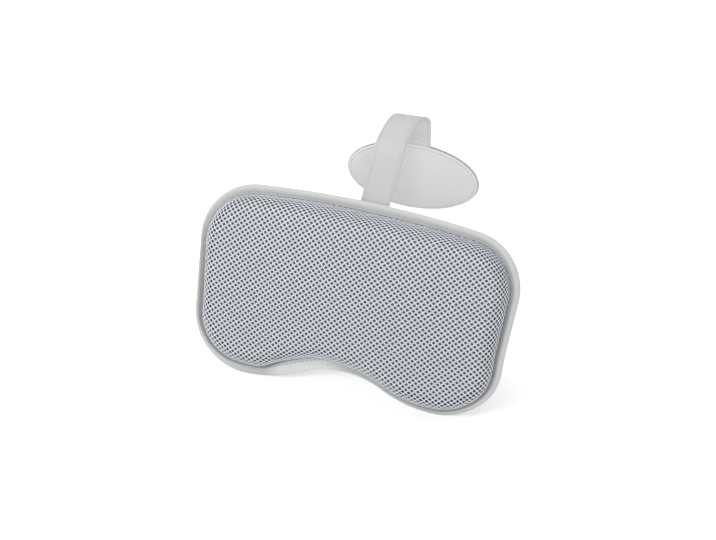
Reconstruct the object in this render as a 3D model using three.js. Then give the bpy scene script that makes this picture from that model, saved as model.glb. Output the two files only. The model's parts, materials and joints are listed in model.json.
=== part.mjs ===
// Bath pillow that hangs over the rim of a bath: a crowned pad with an air-mesh front and a bound edge,
// a flat strap that lies over the rim, and a weighted oval pouch behind it that balances the pad.
// Units are millimetres, +Z is up and the front of the pad faces -Y. The origin is the middle of the
// flat underside of the strap, where it lies on the rim.
import * as THREE from 'three';

const DEG = Math.PI / 180;

// Fits
const SEAT_GAP = 0.3;
const HINGE_GAP = 0.4;

// Pad outline, seen square on
const PAD_WIDTH = 330;
const PAD_HEIGHT = 194;
const CORNER_RADIUS = 57;
const TOP_ARCH = 5.5;
const LOBE_RADIUS = 61;
const LOBE_SPACING = 196;
const NOTCH_DEPTH = 22;
const NOTCH_RADIUS = 98;
const CROWN_CENTRE_RISE = 97;

// Pad section, from the seam outward
const RIM_WIDTH = 9;
const HEM_THICKNESS = 1.5;
const BINDING_WALL = 1.2;
const CROWN_HEIGHT = 50;
const EDGE_HEIGHT = 26;
const CROWN_REACH_X = 150;
const CROWN_REACH_Z = 120;
const FRONT_ROLL = 18;
const BACK_DEPTH = 14;
const BACK_ROLL = 30;
const MESH_THICKNESS = 5;
const LINER_THICKNESS = 0.8;
const BACK_THICKNESS = 1.4;
const PAD_LEAN = 30 * DEG;

// Strap
const STRAP_WIDTH = 30;
const STRAP_THICKNESS = 2;
const SADDLE_FLAT = 20;
const FRONT_BEND_RADIUS = 22;
const FRONT_SLOPE = 46 * DEG;
const FRONT_LEG = 50;
const BACK_BEND_RADIUS = 60;
const BACK_SPLIT = 45 * DEG;
const BACK_SLOPE = 11.5;
const BACK_TURN_RADIUS = 15;
const BACK_LEG_DROP = 24.7;
const FOLD_TAPER = 36 * DEG;
const FOLD_TIP = 0.2;

// Strap's sewn end on the back of the pad
const TAIL_LENGTH = 72;
const TAIL_BELOW_TOP = 5;
const PATCH_WIDTH = 46;
const PATCH_HEIGHT = 42;
const PATCH_MARGIN = 6;
const PATCH_THICKNESS = 1.2;

// Weighted pouch
const POUCH_WIDTH = 136;
const POUCH_HEIGHT = 81;
const POUCH_BELOW_FOLD = 3;
const POUCH_HEM = 6;
const POUCH_ROLL = 9;
const POUCH_BULGE = 3.5;
const POUCH_PANEL = 1.2;
const POUCH_TAIL = 12;
const PLATE_THICKNESS = 4;
const PLATE_CLEARANCE = 5;

// Sewing thread
const THREAD = 0.8;
const STITCH_INSET = 2.6;
const SEAM_LINE = 1;

// Facets: how many straight steps stand for each round stretch
const ARCH_STEPS = 4;
const CORNER_STEPS = 7;
const LOBE_STEPS = 7;
const SHOULDER_STEPS = 3;
const NOTCH_STEPS = 3;
const ROLL_STEPS = 5;
const CROWN_STEPS = 4;
const NOSE_STEPS = 4;
const SADDLE_STEPS = 20;
const BACK_LEG_STEPS = 16;
const POUCH_STEPS = 40;
const POUCH_ROLL_STEPS = 3;
const WELT_STEPS = 36;
const PLATE_STEPS = 18;
const THREAD_SIDES = 5;
const HALVINGS = 30;

const material = (color, roughness, metalness = 0) =>
  new THREE.MeshStandardMaterial({ color, roughness, metalness });
const AIR_MESH = material(0xd9dde2, 0.92);
const LINER = material(0x4b4f53, 0.95);
const FOAM = material(0xe9e5db, 0.95);
const BINDING = material(0xd2d3d4, 0.8);
const BACKING = material(0xc9cbcd, 0.85);
const STRAP = material(0xcfd0d1, 0.7);
const POUCH = material(0xd3d4d5, 0.75);
const THREAD_GREY = material(0xc2c4c6, 0.85);
const STEEL = material(0x8c9094, 0.4, 1);

// Heights over the seam plane that the pad's pieces share
const HEM_LOW = SEAT_GAP / 2;
const HEM_HIGH = HEM_LOW + HEM_THICKNESS;
const BINDING_LOW = HEM_HIGH + SEAT_GAP;
const BINDING_HIGH = BINDING_LOW + BINDING_WALL;
const BACK_FACE = HEM_HIGH + BACK_DEPTH;
const PATCH_SEAT = BACK_FACE + SEAT_GAP;
const TAIL_SEAT = PATCH_SEAT + PATCH_THICKNESS + SEAT_GAP;

// A point of an outline with its outward direction, in the plane that the outline lies in.
const edgePoint = (x, z, nx, nz) => ({ x, z, nx, nz });
const inset = (p, distance) => ({ x: p.x - p.nx * distance, z: p.z - p.nz * distance });

// Points along an arc without its last one; side is 1 where the material is inside, -1 where outside.
function arcEdge(cx, cz, radius, from, to, steps, side = 1) {
  const points = [];
  for (let i = 0; i < steps; i++) {
    const angle = from + ((to - from) * i) / steps;
    const c = Math.cos(angle);
    const s = Math.sin(angle);
    points.push(edgePoint(cx + radius * c, cz + radius * s, side * c, side * s));
  }
  return points;
}

// The pad's outline as tangent arcs, clockwise from the middle of the top edge, round the crown's centre:
// an arched top, round corners, straight sides, two lobes and the hollow for the neck between them.
function padOutline() {
  const top = PAD_HEIGHT - CROWN_CENTRE_RISE;
  const bottom = -CROWN_CENTRE_RISE;
  const notchTop = bottom + NOTCH_DEPTH;
  const corner = { x: PAD_WIDTH / 2 - CORNER_RADIUS, z: top - TOP_ARCH - CORNER_RADIUS };
  const lobe = { x: LOBE_SPACING / 2, z: bottom + LOBE_RADIUS };
  const archDrop = top - corner.z;
  const archRadius = (corner.x ** 2 + archDrop ** 2 - CORNER_RADIUS ** 2) / (2 * TOP_ARCH);
  const archEnd = Math.atan2(corner.z - top + archRadius, corner.x);
  const between = Math.atan2(corner.z - lobe.z, corner.x - lobe.x);
  const apart = Math.hypot(corner.x - lobe.x, corner.z - lobe.z);
  const sideAngle = between - Math.acos((LOBE_RADIUS - CORNER_RADIUS) / apart);
  const swing = 2 * Math.atan(NOTCH_DEPTH / lobe.x);
  const shoulderRadius = lobe.x / Math.sin(swing) - NOTCH_RADIUS;
  const down = -90 * DEG;
  const right = [
    ...arcEdge(0, top - archRadius, archRadius, -down, archEnd, ARCH_STEPS),
    ...arcEdge(corner.x, corner.z, CORNER_RADIUS, archEnd, sideAngle, CORNER_STEPS),
    ...arcEdge(corner.x, corner.z, CORNER_RADIUS, sideAngle, sideAngle, 1),
    ...arcEdge(lobe.x, lobe.z, LOBE_RADIUS, sideAngle, down, LOBE_STEPS),
    ...arcEdge(lobe.x, bottom + shoulderRadius, shoulderRadius, down, down - swing, SHOULDER_STEPS),
    ...arcEdge(0, notchTop - NOTCH_RADIUS, NOTCH_RADIUS, -down - swing, -down, NOTCH_STEPS, -1),
  ];
  const notch = edgePoint(0, notchTop, 0, -1);
  const left = right.slice(1).reverse();
  return [...right, notch, ...left.map((p) => edgePoint(-p.x, p.z, -p.nx, p.nz))];
}

// An ellipse as an outline, clockwise from its top.
function ellipseOutline(width, height, steps) {
  const points = [];
  for (let i = 0; i < steps; i++) {
    const angle = 90 * DEG - (360 * DEG * i) / steps;
    const direction = new THREE.Vector2(height * Math.cos(angle), width * Math.sin(angle)).normalize();
    const x = (width / 2) * Math.cos(angle);
    const z = (height / 2) * Math.sin(angle);
    points.push(edgePoint(x, z, direction.x, direction.y));
  }
  return points;
}

// A closed body from rings of points, listed from a pole on its outside, round its edge, to a pole on its
// inside. Each ring has one point for each point of the outline, at -Y for a height over the seam plane.
// From the ring turnedFrom on, the quads are split the other way, so that an inner face matches an outer one.
function bodyFromRings(startPole, rings, endPole, turnedFrom = rings.length) {
  const count = rings[0].length;
  const vertices = [startPole, ...rings.flat(), endPole];
  const index = [];
  const at = (ring, i) => 1 + ring * count + (i % count);
  for (let i = 0; i < count; i++) {
    index.push(0, at(0, i + 1), at(0, i));
    for (let ring = 0; ring + 1 < rings.length; ring++) {
      const near = at(ring, ring < turnedFrom ? i + 1 : i);
      const far = at(ring + 1, ring < turnedFrom ? i : i + 1);
      index.push(at(ring, i), at(ring, i + 1), far);
      index.push(near, at(ring + 1, i + 1), at(ring + 1, i));
    }
    index.push(at(rings.length - 1, i), at(rings.length - 1, i + 1), vertices.length - 1);
  }
  const geometry = new THREE.BufferGeometry();
  const values = vertices.flatMap((v) => [v.x, v.y, v.z]);
  geometry.setAttribute('position', new THREE.Float32BufferAttribute(values, 3));
  geometry.setIndex(index);
  geometry.computeVertexNormals();
  return geometry;
}

// How far a point lies from the nearest edge of a closed line of points.
function edgeDistance(x, z, line) {
  const point = new THREE.Vector3(x, 0, z);
  const nearest = new THREE.Vector3();
  const edge = new THREE.Line3();
  let least = Infinity;
  line.forEach((p, i) => {
    const q = line[(i + 1) % line.length];
    edge.start.set(p.x, 0, p.z);
    edge.end.set(q.x, 0, q.z);
    least = Math.min(least, edge.closestPointToPoint(point, true, nearest).distanceTo(point));
  });
  return least;
}

// The share of the way from the pole to a point of a line that lies the given depth inside the line.
function shareAtDepth(point, depth, line) {
  let low = 0;
  let high = 1;
  for (let i = 0; i < HALVINGS; i++) {
    const share = (low + high) / 2;
    if (edgeDistance(point.x * share, point.z * share, line) > depth) low = share;
    else high = share;
  }
  return high;
}

// A padded face over an outline: it rises from the hem line in a quarter-ellipse roll and runs over the
// crown to a pole. rings[0] is the innermost ring and the last one lies on the hem line, at height base.
class PaddedFace {
  constructor({ outline, rim, roll, base, crown, rollSteps, innerSteps }) {
    this.outline = outline;
    this.base = base;
    const hem = outline.map((p) => inset(p, rim));
    const lift = (x, z, rise) => new THREE.Vector3(x, -(base + crown(x, z) * rise), z);
    const ring = (shares, rise) => hem.map((p, i) => lift(p.x * shares[i], p.z * shares[i], rise));
    const rolled = (turn) => hem.map((p) => shareAtDepth(p, roll * (1 - Math.cos(turn)), hem));
    const flat = rolled(90 * DEG);
    this.rings = [];
    for (let k = 1; k < innerSteps; k++) {
      this.rings.push(ring(flat.map((share) => (share * k) / innerSteps), 1));
    }
    for (let k = rollSteps; k > 0; k--) {
      const turn = (90 * DEG * k) / rollSteps;
      this.rings.push(ring(rolled(turn), Math.sin(turn)));
    }
    this.rings.push(ring(hem.map(() => 1), 0));
    this.pole = lift(0, 0, 1);
    this.normals = this.surfaceNormals();
  }

  // Directions out of the face: measured on the face, and level along the hem line.
  surfaceNormals() {
    const hemCentre = new THREE.Vector3(0, -this.base, 0);
    const normal = bodyFromRings(this.pole, this.rings, hemCentre).getAttribute('normal');
    const count = this.outline.length;
    return this.rings.map((ring, r) => ring.map((_, i) => {
      if (r === this.rings.length - 1) return new THREE.Vector3(this.outline[i].nx, 0, this.outline[i].nz);
      return new THREE.Vector3().fromBufferAttribute(normal, 1 + r * count + i);
    }));
  }

  // The same face, lowered by an even thickness.
  lowered(thickness) {
    const rings = this.rings.map((ring, r) =>
      ring.map((v, i) => v.clone().addScaledVector(this.normals[r][i], -thickness)));
    return { pole: this.pole.clone().setY(this.pole.y + thickness), rings };
  }

  // The hem line's points, moved inward and put at another height.
  hemRing(moved, height) {
    const hem = this.rings[this.rings.length - 1];
    return hem.map((v, i) => {
      const p = this.outline[i];
      return new THREE.Vector3(v.x - p.nx * moved, -height, v.z - p.nz * moved);
    });
  }
}

// A sheet of even thickness over a padded face, with a flat hem that runs out past the hem line.
function hemmedPanel(face, thickness, hemOut, hemLow) {
  const inner = face.lowered(thickness);
  return bodyFromRings(face.pole, [
    ...face.rings,
    face.hemRing(-hemOut, face.base),
    face.hemRing(-hemOut, hemLow),
    face.hemRing(thickness, hemLow),
    ...inner.rings.reverse(),
  ], inner.pole, face.rings.length);
}

// A ring that follows an outline with one closed section; each section point is (outward, height).
function sectionRing(outline, section) {
  const count = section.length;
  const vertices = outline.flatMap((p) =>
    section.flatMap(([out, height]) => [p.x + p.nx * out, -height, p.z + p.nz * out]));
  const index = [];
  for (let i = 0; i < outline.length; i++) {
    const next = (i + 1) % outline.length;
    for (let k = 0; k < count; k++) {
      const a = i * count + k;
      const b = i * count + ((k + 1) % count);
      const c = next * count + k;
      const d = next * count + ((k + 1) % count);
      index.push(a, c, b, b, c, d);
    }
  }
  const geometry = new THREE.BufferGeometry();
  geometry.setAttribute('position', new THREE.Float32BufferAttribute(vertices, 3));
  geometry.setIndex(index);
  return geometry;
}

// A thread laid along an outline, as a ring.
function threadRing(outline, out, height) {
  const section = [];
  for (let k = 0; k < THREAD_SIDES; k++) {
    const angle = 90 * DEG - (360 * DEG * k) / THREAD_SIDES;
    section.push([out + (THREAD / 2) * Math.cos(angle), height + (THREAD / 2) * Math.sin(angle)]);
  }
  return sectionRing(outline, section);
}

const rectangle = (width, low, high) => new THREE.Shape([
  new THREE.Vector2(-width / 2, low),
  new THREE.Vector2(width / 2, low),
  new THREE.Vector2(width / 2, high),
  new THREE.Vector2(-width / 2, high),
]);

// A flat shape in X and Z, from depth y to a thickness behind it.
function flatPiece(shape, y, thickness) {
  const geometry = new THREE.ExtrudeGeometry(shape, { depth: thickness, bevelEnabled: false, steps: 1 });
  return geometry.rotateX(90 * DEG).translate(0, y + thickness, 0);
}

function named(name, geometry, surface) {
  const mesh = new THREE.Mesh(geometry, surface);
  mesh.name = name;
  return mesh;
}

// The same piece turned to face back.
function facingBack(mesh) {
  mesh.rotation.z = 180 * DEG;
  return mesh;
}

// The strap's centre line in Y and Z, by its length from the middle of the flat on the rim: back is
// positive. heading is the angle of the line from +Y toward +Z.
const FRONT_BEND = SADDLE_FLAT / 2 + FRONT_BEND_RADIUS * FRONT_SLOPE;
const PAD_FOLD = FRONT_BEND + FRONT_LEG;
const BACK_FOLD = SADDLE_FLAT / 2 + BACK_BEND_RADIUS * BACK_SPLIT;
const BACK_TURN = BACK_FOLD + BACK_SLOPE;
const BACK_BEND = BACK_TURN + BACK_TURN_RADIUS * (90 * DEG - BACK_SPLIT);
const POUCH_FOLD = BACK_BEND + BACK_LEG_DROP;

function strapCentre(s) {
  const flat = SADDLE_FLAT / 2;
  if (s > BACK_BEND) return alongLine(strapCentre(BACK_BEND), s - BACK_BEND);
  if (s > BACK_TURN) return roundBend(strapCentre(BACK_TURN), BACK_TURN_RADIUS, s - BACK_TURN);
  if (s > BACK_FOLD) return alongLine(strapCentre(BACK_FOLD), s - BACK_FOLD);
  if (s > flat) return roundBend(strapCentre(flat), BACK_BEND_RADIUS, s - flat);
  if (s >= -flat) return { y: s, z: STRAP_THICKNESS / 2, heading: 0 };
  if (s >= -FRONT_BEND) return roundBend(strapCentre(-flat), FRONT_BEND_RADIUS, s + flat);
  if (s >= -PAD_FOLD) return alongLine(strapCentre(-FRONT_BEND), s + FRONT_BEND);
  return alongLine({ ...strapCentre(-PAD_FOLD), heading: 90 * DEG - PAD_LEAN }, s + PAD_FOLD);
}

// A straight run on from a point of the strap; lengths toward the front are negative.
function alongLine({ y, z, heading }, length) {
  return { y: y + length * Math.cos(heading), z: z + length * Math.sin(heading), heading };
}

// A bend that turns down from a point of the strap, by the length from there.
function roundBend({ y, z, heading }, radius, length) {
  const turned = heading - length / radius;
  return {
    y: y + radius * (Math.sin(heading) - Math.sin(turned)),
    z: z + radius * (Math.cos(turned) - Math.cos(heading)),
    heading: turned,
  };
}

// A stretch of the strap between two lengths. A folding end tapers to a thin edge at the fold, so that the
// two stretches can turn about it.
function strapStretch(from, to, foldAtFrom, foldAtTo, steps) {
  const half = STRAP_THICKNESS / 2;
  const taper = (half - FOLD_TIP / 2) / Math.tan(FOLD_TAPER);
  const start = from + (foldAtFrom ? HINGE_GAP / 2 : 0);
  const end = to - (foldAtTo ? HINGE_GAP / 2 : 0);
  const inner = start + (foldAtFrom ? taper : 0);
  const outer = end - (foldAtTo ? taper : 0);
  const stations = [];
  if (foldAtFrom) stations.push([start, FOLD_TIP / 2]);
  for (let i = 0; i <= steps; i++) stations.push([inner + ((outer - inner) * i) / steps, half]);
  if (foldAtTo) stations.push([end, FOLD_TIP / 2]);
  const side = (sign) => stations.map(([s, reach]) => {
    const { y, z, heading } = strapCentre(s);
    return new THREE.Vector2(y - sign * reach * Math.sin(heading), z + sign * reach * Math.cos(heading));
  });
  const shape = new THREE.Shape([...side(-1), ...side(1).reverse()]);
  const geometry = new THREE.ExtrudeGeometry(shape, { depth: STRAP_WIDTH, bevelEnabled: false, steps: 1 });
  const axes = [new THREE.Vector3(0, 1, 0), new THREE.Vector3(0, 0, 1), new THREE.Vector3(1, 0, 0)];
  return geometry.applyMatrix4(new THREE.Matrix4().makeBasis(...axes)).translate(-STRAP_WIDTH / 2, 0, 0);
}

function buildStrap() {
  const strap = new THREE.Group();
  const tailEnd = PAD_FOLD + TAIL_LENGTH;
  const stretches = [
    ['strap_pad_tail', -tailEnd, -PAD_FOLD, false, true, 1],
    ['strap_front_leg', -PAD_FOLD, -FRONT_BEND, true, true, 1],
    ['strap_saddle', -FRONT_BEND, BACK_FOLD, true, true, SADDLE_STEPS],
    ['strap_back_leg', BACK_FOLD, POUCH_FOLD, true, true, BACK_LEG_STEPS],
    ['strap_pouch_tail', POUCH_FOLD, POUCH_FOLD + POUCH_BELOW_FOLD + POUCH_TAIL, true, false, 1],
  ];
  for (const [name, from, to, foldAtFrom, foldAtTo, steps] of stretches) {
    strap.add(named(name, strapStretch(from, to, foldAtFrom, foldAtTo, steps), STRAP));
  }
  return strap;
}

const crownHeight = (x, z) => {
  const away = Math.min(1, Math.hypot(x / CROWN_REACH_X, z / CROWN_REACH_Z));
  return EDGE_HEIGHT + (CROWN_HEIGHT - EDGE_HEIGHT) * Math.cos(90 * DEG * away);
};

// The pad, square on: X across, Z up along it and Y through it, with the seam plane at Y = 0.
function buildPad() {
  const pad = new THREE.Group();
  const outline = padOutline();
  const hemOut = RIM_WIDTH - BINDING_WALL - SEAT_GAP;
  const shared = { outline, rim: RIM_WIDTH, base: HEM_HIGH, rollSteps: ROLL_STEPS, innerSteps: CROWN_STEPS };
  const front = new PaddedFace({ ...shared, roll: FRONT_ROLL, crown: crownHeight });
  const back = new PaddedFace({ ...shared, roll: BACK_ROLL, crown: () => BACK_DEPTH });

  pad.add(named('mesh_cover', hemmedPanel(front, MESH_THICKNESS, hemOut, HEM_LOW), AIR_MESH));
  pad.add(named('core_liner', linerShell(front), LINER));
  pad.add(named('foam_core', foamCore(front, back), FOAM));
  pad.add(facingBack(named('back_panel', hemmedPanel(back, BACK_THICKNESS, hemOut, HEM_LOW), BACKING)));
  pad.add(named('edge_binding', sectionRing(outline, bindingSection()), BINDING));
  const threadHeight = BINDING_HIGH + SEAT_GAP + THREAD / 2;
  const seam = () => threadRing(outline, STITCH_INSET - RIM_WIDTH, threadHeight);
  pad.add(named('binding_thread_front', seam(), THREAD_GREY));
  pad.add(facingBack(named('binding_thread_back', seam(), THREAD_GREY)));
  addStrapSeat(pad);
  return pad;
}

// The dark lining between the air mesh and the foam.
function linerShell(front) {
  const outside = MESH_THICKNESS + SEAT_GAP;
  const inside = outside + LINER_THICKNESS;
  const outer = front.lowered(outside);
  const inner = front.lowered(inside);
  const foot = [front.hemRing(outside, HEM_LOW), front.hemRing(inside, HEM_LOW)];
  const rings = [...outer.rings, ...foot, ...inner.rings.reverse()];
  return bodyFromRings(outer.pole, rings, inner.pole, outer.rings.length);
}

// The foam fills the room between the lining and the back panel.
function foamCore(front, back) {
  const depth = MESH_THICKNESS + LINER_THICKNESS + 2 * SEAT_GAP;
  const top = front.lowered(depth);
  const under = back.lowered(BACK_THICKNESS + SEAT_GAP);
  const mirrored = (v) => new THREE.Vector3(v.x, -v.y, v.z);
  const waist = [front.hemRing(depth, HEM_LOW), front.hemRing(depth, -HEM_LOW)];
  const bottom = under.rings.reverse().map((ring) => ring.map(mirrored));
  return bodyFromRings(top.pole, [...top.rings, ...waist, ...bottom], mirrored(under.pole));
}

// The tape folded round both hems: a channel with a round outer edge.
function bindingSection() {
  const lip = SEAT_GAP - RIM_WIDTH;
  const nose = [];
  for (let k = 0; k <= NOSE_STEPS; k++) {
    const angle = 90 * DEG - (180 * DEG * k) / NOSE_STEPS;
    nose.push([BINDING_HIGH * (Math.cos(angle) - 1), BINDING_HIGH * Math.sin(angle)]);
  }
  return [
    [lip, BINDING_HIGH],
    ...nose,
    [lip, -BINDING_HIGH],
    [lip, -BINDING_LOW],
    [-BINDING_WALL, -BINDING_LOW],
    [-BINDING_WALL, BINDING_LOW],
    [lip, BINDING_LOW],
  ];
}

// The patch on the back panel, and the seams that hold it and the strap's end.
function addStrapSeat(pad) {
  const fold = PAD_HEIGHT - CROWN_CENTRE_RISE - TAIL_BELOW_TOP;
  const tailEnd = fold - TAIL_LENGTH;
  const patchLow = tailEnd - PATCH_MARGIN;
  const patch = rectangle(PATCH_WIDTH, patchLow, patchLow + PATCH_HEIGHT);
  pad.add(named('strap_patch', flatPiece(patch, PATCH_SEAT, PATCH_THICKNESS), BACKING));

  const high = patchLow + PATCH_HEIGHT - STITCH_INSET;
  const tailOuter = TAIL_SEAT + STRAP_THICKNESS + SEAT_GAP;
  const box = boxStitch(STRAP_WIDTH - 2 * STITCH_INSET, tailEnd + STITCH_INSET, high);
  pad.add(named('tail_box_stitch', flatPiece(box, tailOuter, THREAD), THREAD_GREY));

  const patchOuter = PATCH_SEAT + PATCH_THICKNESS + SEAT_GAP;
  const round = sideSeam(PATCH_WIDTH - 2 * STITCH_INSET, patchLow + STITCH_INSET, high);
  pad.add(named('patch_stitch', flatPiece(round, patchOuter, THREAD), THREAD_GREY));
}

// A line of stitching down one side, along the foot and up the other side.
function sideSeam(width, low, high) {
  const outer = width / 2;
  const inner = outer - SEAM_LINE;
  const corners = [
    [-outer, high], [-outer, low], [outer, low], [outer, high],
    [inner, high], [inner, low + SEAM_LINE], [-inner, low + SEAM_LINE], [-inner, high],
  ];
  return new THREE.Shape(corners.map(([x, z]) => new THREE.Vector2(x, z)));
}

// A rectangle of stitching with a cross in it, cut out of a rectangle as four triangles.
function boxStitch(width, low, high) {
  const shape = rectangle(width, low, high);
  const line = SEAM_LINE;
  const middle = (low + high) / 2;
  const right = width / 2 - line;
  const reach = high - line - middle;
  const slant = line * Math.hypot(right, reach);
  const tall = slant / 2 / reach;
  const wide = slant / 2 / right;
  const hole = (...corners) => new THREE.Path(corners.map(([x, z]) => new THREE.Vector2(x, z)));
  for (const sign of [1, -1]) {
    const edge = sign * right;
    const far = middle + sign * reach;
    shape.holes.push(hole(
      [sign * tall, middle],
      [edge, middle + reach - wide],
      [edge, middle - reach + wide],
    ));
    shape.holes.push(hole(
      [0, middle + sign * wide],
      [right - tall, far],
      [tall - right, far],
    ));
  }
  return shape;
}

// The weighted pouch in its own upright plane, with its centre at the origin.
function buildPouch() {
  const pouch = new THREE.Group();
  const outline = ellipseOutline(POUCH_WIDTH, POUCH_HEIGHT, POUCH_STEPS);
  const hemLow = STRAP_THICKNESS / 2 + SEAT_GAP;
  const base = hemLow + POUCH_PANEL;
  const face = new PaddedFace({
    outline,
    rim: POUCH_HEM,
    roll: POUCH_ROLL,
    base,
    crown: () => POUCH_BULGE,
    rollSteps: POUCH_ROLL_STEPS,
    innerSteps: 1,
  });
  const panel = () => hemmedPanel(face, POUCH_PANEL, POUCH_HEM, hemLow);
  pouch.add(named('pouch_front', panel(), POUCH));
  pouch.add(facingBack(named('pouch_back', panel(), POUCH)));
  pouch.add(named('pouch_welt', flatPiece(weltShape(), -STRAP_THICKNESS / 2, STRAP_THICKNESS), POUCH));
  const seam = () => threadRing(outline, -POUCH_HEM / 2, base + SEAT_GAP + THREAD / 2);
  pouch.add(named('pouch_thread_front', seam(), THREAD_GREY));
  pouch.add(facingBack(named('pouch_thread_back', seam(), THREAD_GREY)));
  addWeight(pouch, base + POUCH_BULGE - POUCH_PANEL);
  return pouch;
}

// The strip between the two panels' hems, open at the top where the strap comes in.
function weltShape() {
  const mouth = STRAP_WIDTH / 2 + SEAT_GAP;
  const bend = (shrink) => {
    const across = POUCH_WIDTH / 2 - shrink;
    const up = POUCH_HEIGHT / 2 - shrink;
    const from = Math.acos(mouth / across);
    const points = [];
    for (let i = 0; i <= WELT_STEPS; i++) {
      const angle = from - ((180 * DEG + 2 * from) * i) / WELT_STEPS;
      points.push(new THREE.Vector2(across * Math.cos(angle), up * Math.sin(angle)));
    }
    return points;
  };
  return new THREE.Shape([...bend(0), ...bend(POUCH_HEM).reverse()]);
}

// The steel plate between two soft layers, which fill the flat middle of the pouch below the strap's end.
// halfRoom is the height of each panel's inner face over the middle plane.
function addWeight(pouch, halfRoom) {
  const round = POUCH_HEM + POUCH_ROLL + POUCH_PANEL;
  const width = POUCH_WIDTH - 2 * round;
  const height = POUCH_HEIGHT - 2 * Math.max(round, POUCH_TAIL + PLATE_CLEARANCE);
  const oval = new THREE.Shape().absellipse(0, 0, width / 2, height / 2, 0, 360 * DEG, false);
  const slab = (y, thickness) => {
    const options = { depth: thickness, bevelEnabled: false, curveSegments: PLATE_STEPS };
    return new THREE.ExtrudeGeometry(oval, options).rotateX(90 * DEG).translate(0, y + thickness, 0);
  };
  const layer = PLATE_THICKNESS / 2 + SEAT_GAP;
  const layerThickness = halfRoom - SEAT_GAP - layer;
  pouch.add(named('weight_plate', slab(-PLATE_THICKNESS / 2, PLATE_THICKNESS), STEEL));
  pouch.add(named('weight_pad_front', slab(-layer - layerThickness, layerThickness), FOAM));
  pouch.add(named('weight_pad_back', slab(layer, layerThickness), FOAM));
}

function buildPillow() {
  const pillow = new THREE.Group();
  pillow.add(buildStrap());

  const pad = buildPad();
  const fold = strapCentre(-PAD_FOLD);
  const foldOnPad = new THREE.Vector3(
    0, TAIL_SEAT + STRAP_THICKNESS / 2, PAD_HEIGHT - CROWN_CENTRE_RISE - TAIL_BELOW_TOP,
  );
  pad.rotation.x = -PAD_LEAN;
  pad.position.set(0, fold.y, fold.z).sub(foldOnPad.applyEuler(pad.rotation));
  pillow.add(pad);

  const pouch = buildPouch();
  const seam = strapCentre(POUCH_FOLD + POUCH_BELOW_FOLD);
  pouch.position.set(0, seam.y, seam.z - POUCH_HEIGHT / 2);
  pillow.add(pouch);
  return pillow;
}

const pillow = buildPillow();

export default pillow;
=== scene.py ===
"""Looks of a bath pillow: a crowned pad with an air-mesh front, a strap over the rim and a weighted pouch.

Sizes are millimetres. A piece is made on its own axes and set in the frame, in metres, when its mesh is done.
"""

import json
import logging
import math
from collections.abc import Callable, Iterable, Sequence
from dataclasses import dataclass, field
from enum import Enum
from functools import partialmethod

import bmesh
import bpy
import numpy as np
from mathutils import Matrix, Vector, kdtree

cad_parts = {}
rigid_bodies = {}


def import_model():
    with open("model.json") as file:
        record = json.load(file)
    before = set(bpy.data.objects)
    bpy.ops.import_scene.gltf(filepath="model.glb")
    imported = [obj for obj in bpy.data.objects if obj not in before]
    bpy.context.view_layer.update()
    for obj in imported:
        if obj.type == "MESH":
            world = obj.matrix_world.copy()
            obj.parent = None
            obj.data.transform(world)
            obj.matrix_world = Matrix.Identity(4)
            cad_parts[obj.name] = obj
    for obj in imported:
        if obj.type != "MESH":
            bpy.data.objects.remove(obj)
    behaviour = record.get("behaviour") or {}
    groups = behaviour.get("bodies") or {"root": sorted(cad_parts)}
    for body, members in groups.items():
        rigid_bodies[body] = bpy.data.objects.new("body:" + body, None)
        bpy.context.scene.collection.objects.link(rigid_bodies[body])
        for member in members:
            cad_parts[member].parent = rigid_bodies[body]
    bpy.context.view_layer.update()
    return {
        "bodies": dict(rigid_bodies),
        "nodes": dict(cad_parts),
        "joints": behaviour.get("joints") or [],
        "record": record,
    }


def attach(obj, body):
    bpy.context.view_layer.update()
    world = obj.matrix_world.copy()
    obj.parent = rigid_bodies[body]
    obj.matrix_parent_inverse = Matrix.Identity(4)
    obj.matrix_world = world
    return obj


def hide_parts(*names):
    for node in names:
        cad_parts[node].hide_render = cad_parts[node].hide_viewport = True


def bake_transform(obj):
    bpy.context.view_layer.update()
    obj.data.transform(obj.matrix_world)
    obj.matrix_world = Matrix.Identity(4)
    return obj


Array = np.ndarray
Colour = tuple[int, int, int]
Material = bpy.types.Material
Mesh = bmesh.types.BMesh
Place = tuple[float, float, float]
Inputs = dict[str, "Wire | float"]

LOG = logging.getLogger("bath_pillow")
MM = 0.001
PAD_LEAN = math.radians(30)
SHARP_ANGLE = math.radians(70)
CLOTH, STRETCH, PAINTED_LIGHT = "cloth", "stretch", "painted_light"
BEHIND = np.array([1, 1, -1])
SIDES = (("front", 1), ("back", -1))


def linear(colour: Iterable[int]) -> tuple[float, ...]:
    """The linear colour of a screen colour given from 0 to 255."""
    shares = [value / 255 for value in colour]
    return *(s / 12.92 if s <= 0.04045 else ((s + 0.055) / 1.055) ** 2.4 for s in shares), 1.0


# Shader maths


class Wire:
    """An output socket of a material that takes part in Python arithmetic."""

    def __init__(self, bench: "Bench", socket: bpy.types.NodeSocket | None) -> None:
        """Keeps the socket and the bench that it stands on."""
        self.bench = bench
        self.socket = socket

    def maths(self, operation: str, *others: "Wire | float") -> "Wire":
        """This value and others through a Math node."""
        return self.bench.maths(operation, self, *others)

    def __rsub__(self, other: float) -> "Wire":
        """Difference from a number."""
        return self.bench.maths("SUBTRACT", other, self)

    __add__ = __radd__ = partialmethod(maths, "ADD")
    __sub__ = partialmethod(maths, "SUBTRACT")
    __mul__ = __rmul__ = partialmethod(maths, "MULTIPLY")
    __truediv__ = partialmethod(maths, "DIVIDE")
    __lt__ = partialmethod(maths, "LESS_THAN")

    def wave(self, length: float) -> "Wire":
        """A sine that runs through one turn in the given length."""
        return (self * (2 * math.pi / length)).maths("SINE")

    def off_line(self) -> "Wire":
        """How far a value lies from the nearest whole number."""
        return ((self + 0.5).maths("FRACT") - 0.5).maths("ABSOLUTE")


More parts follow.
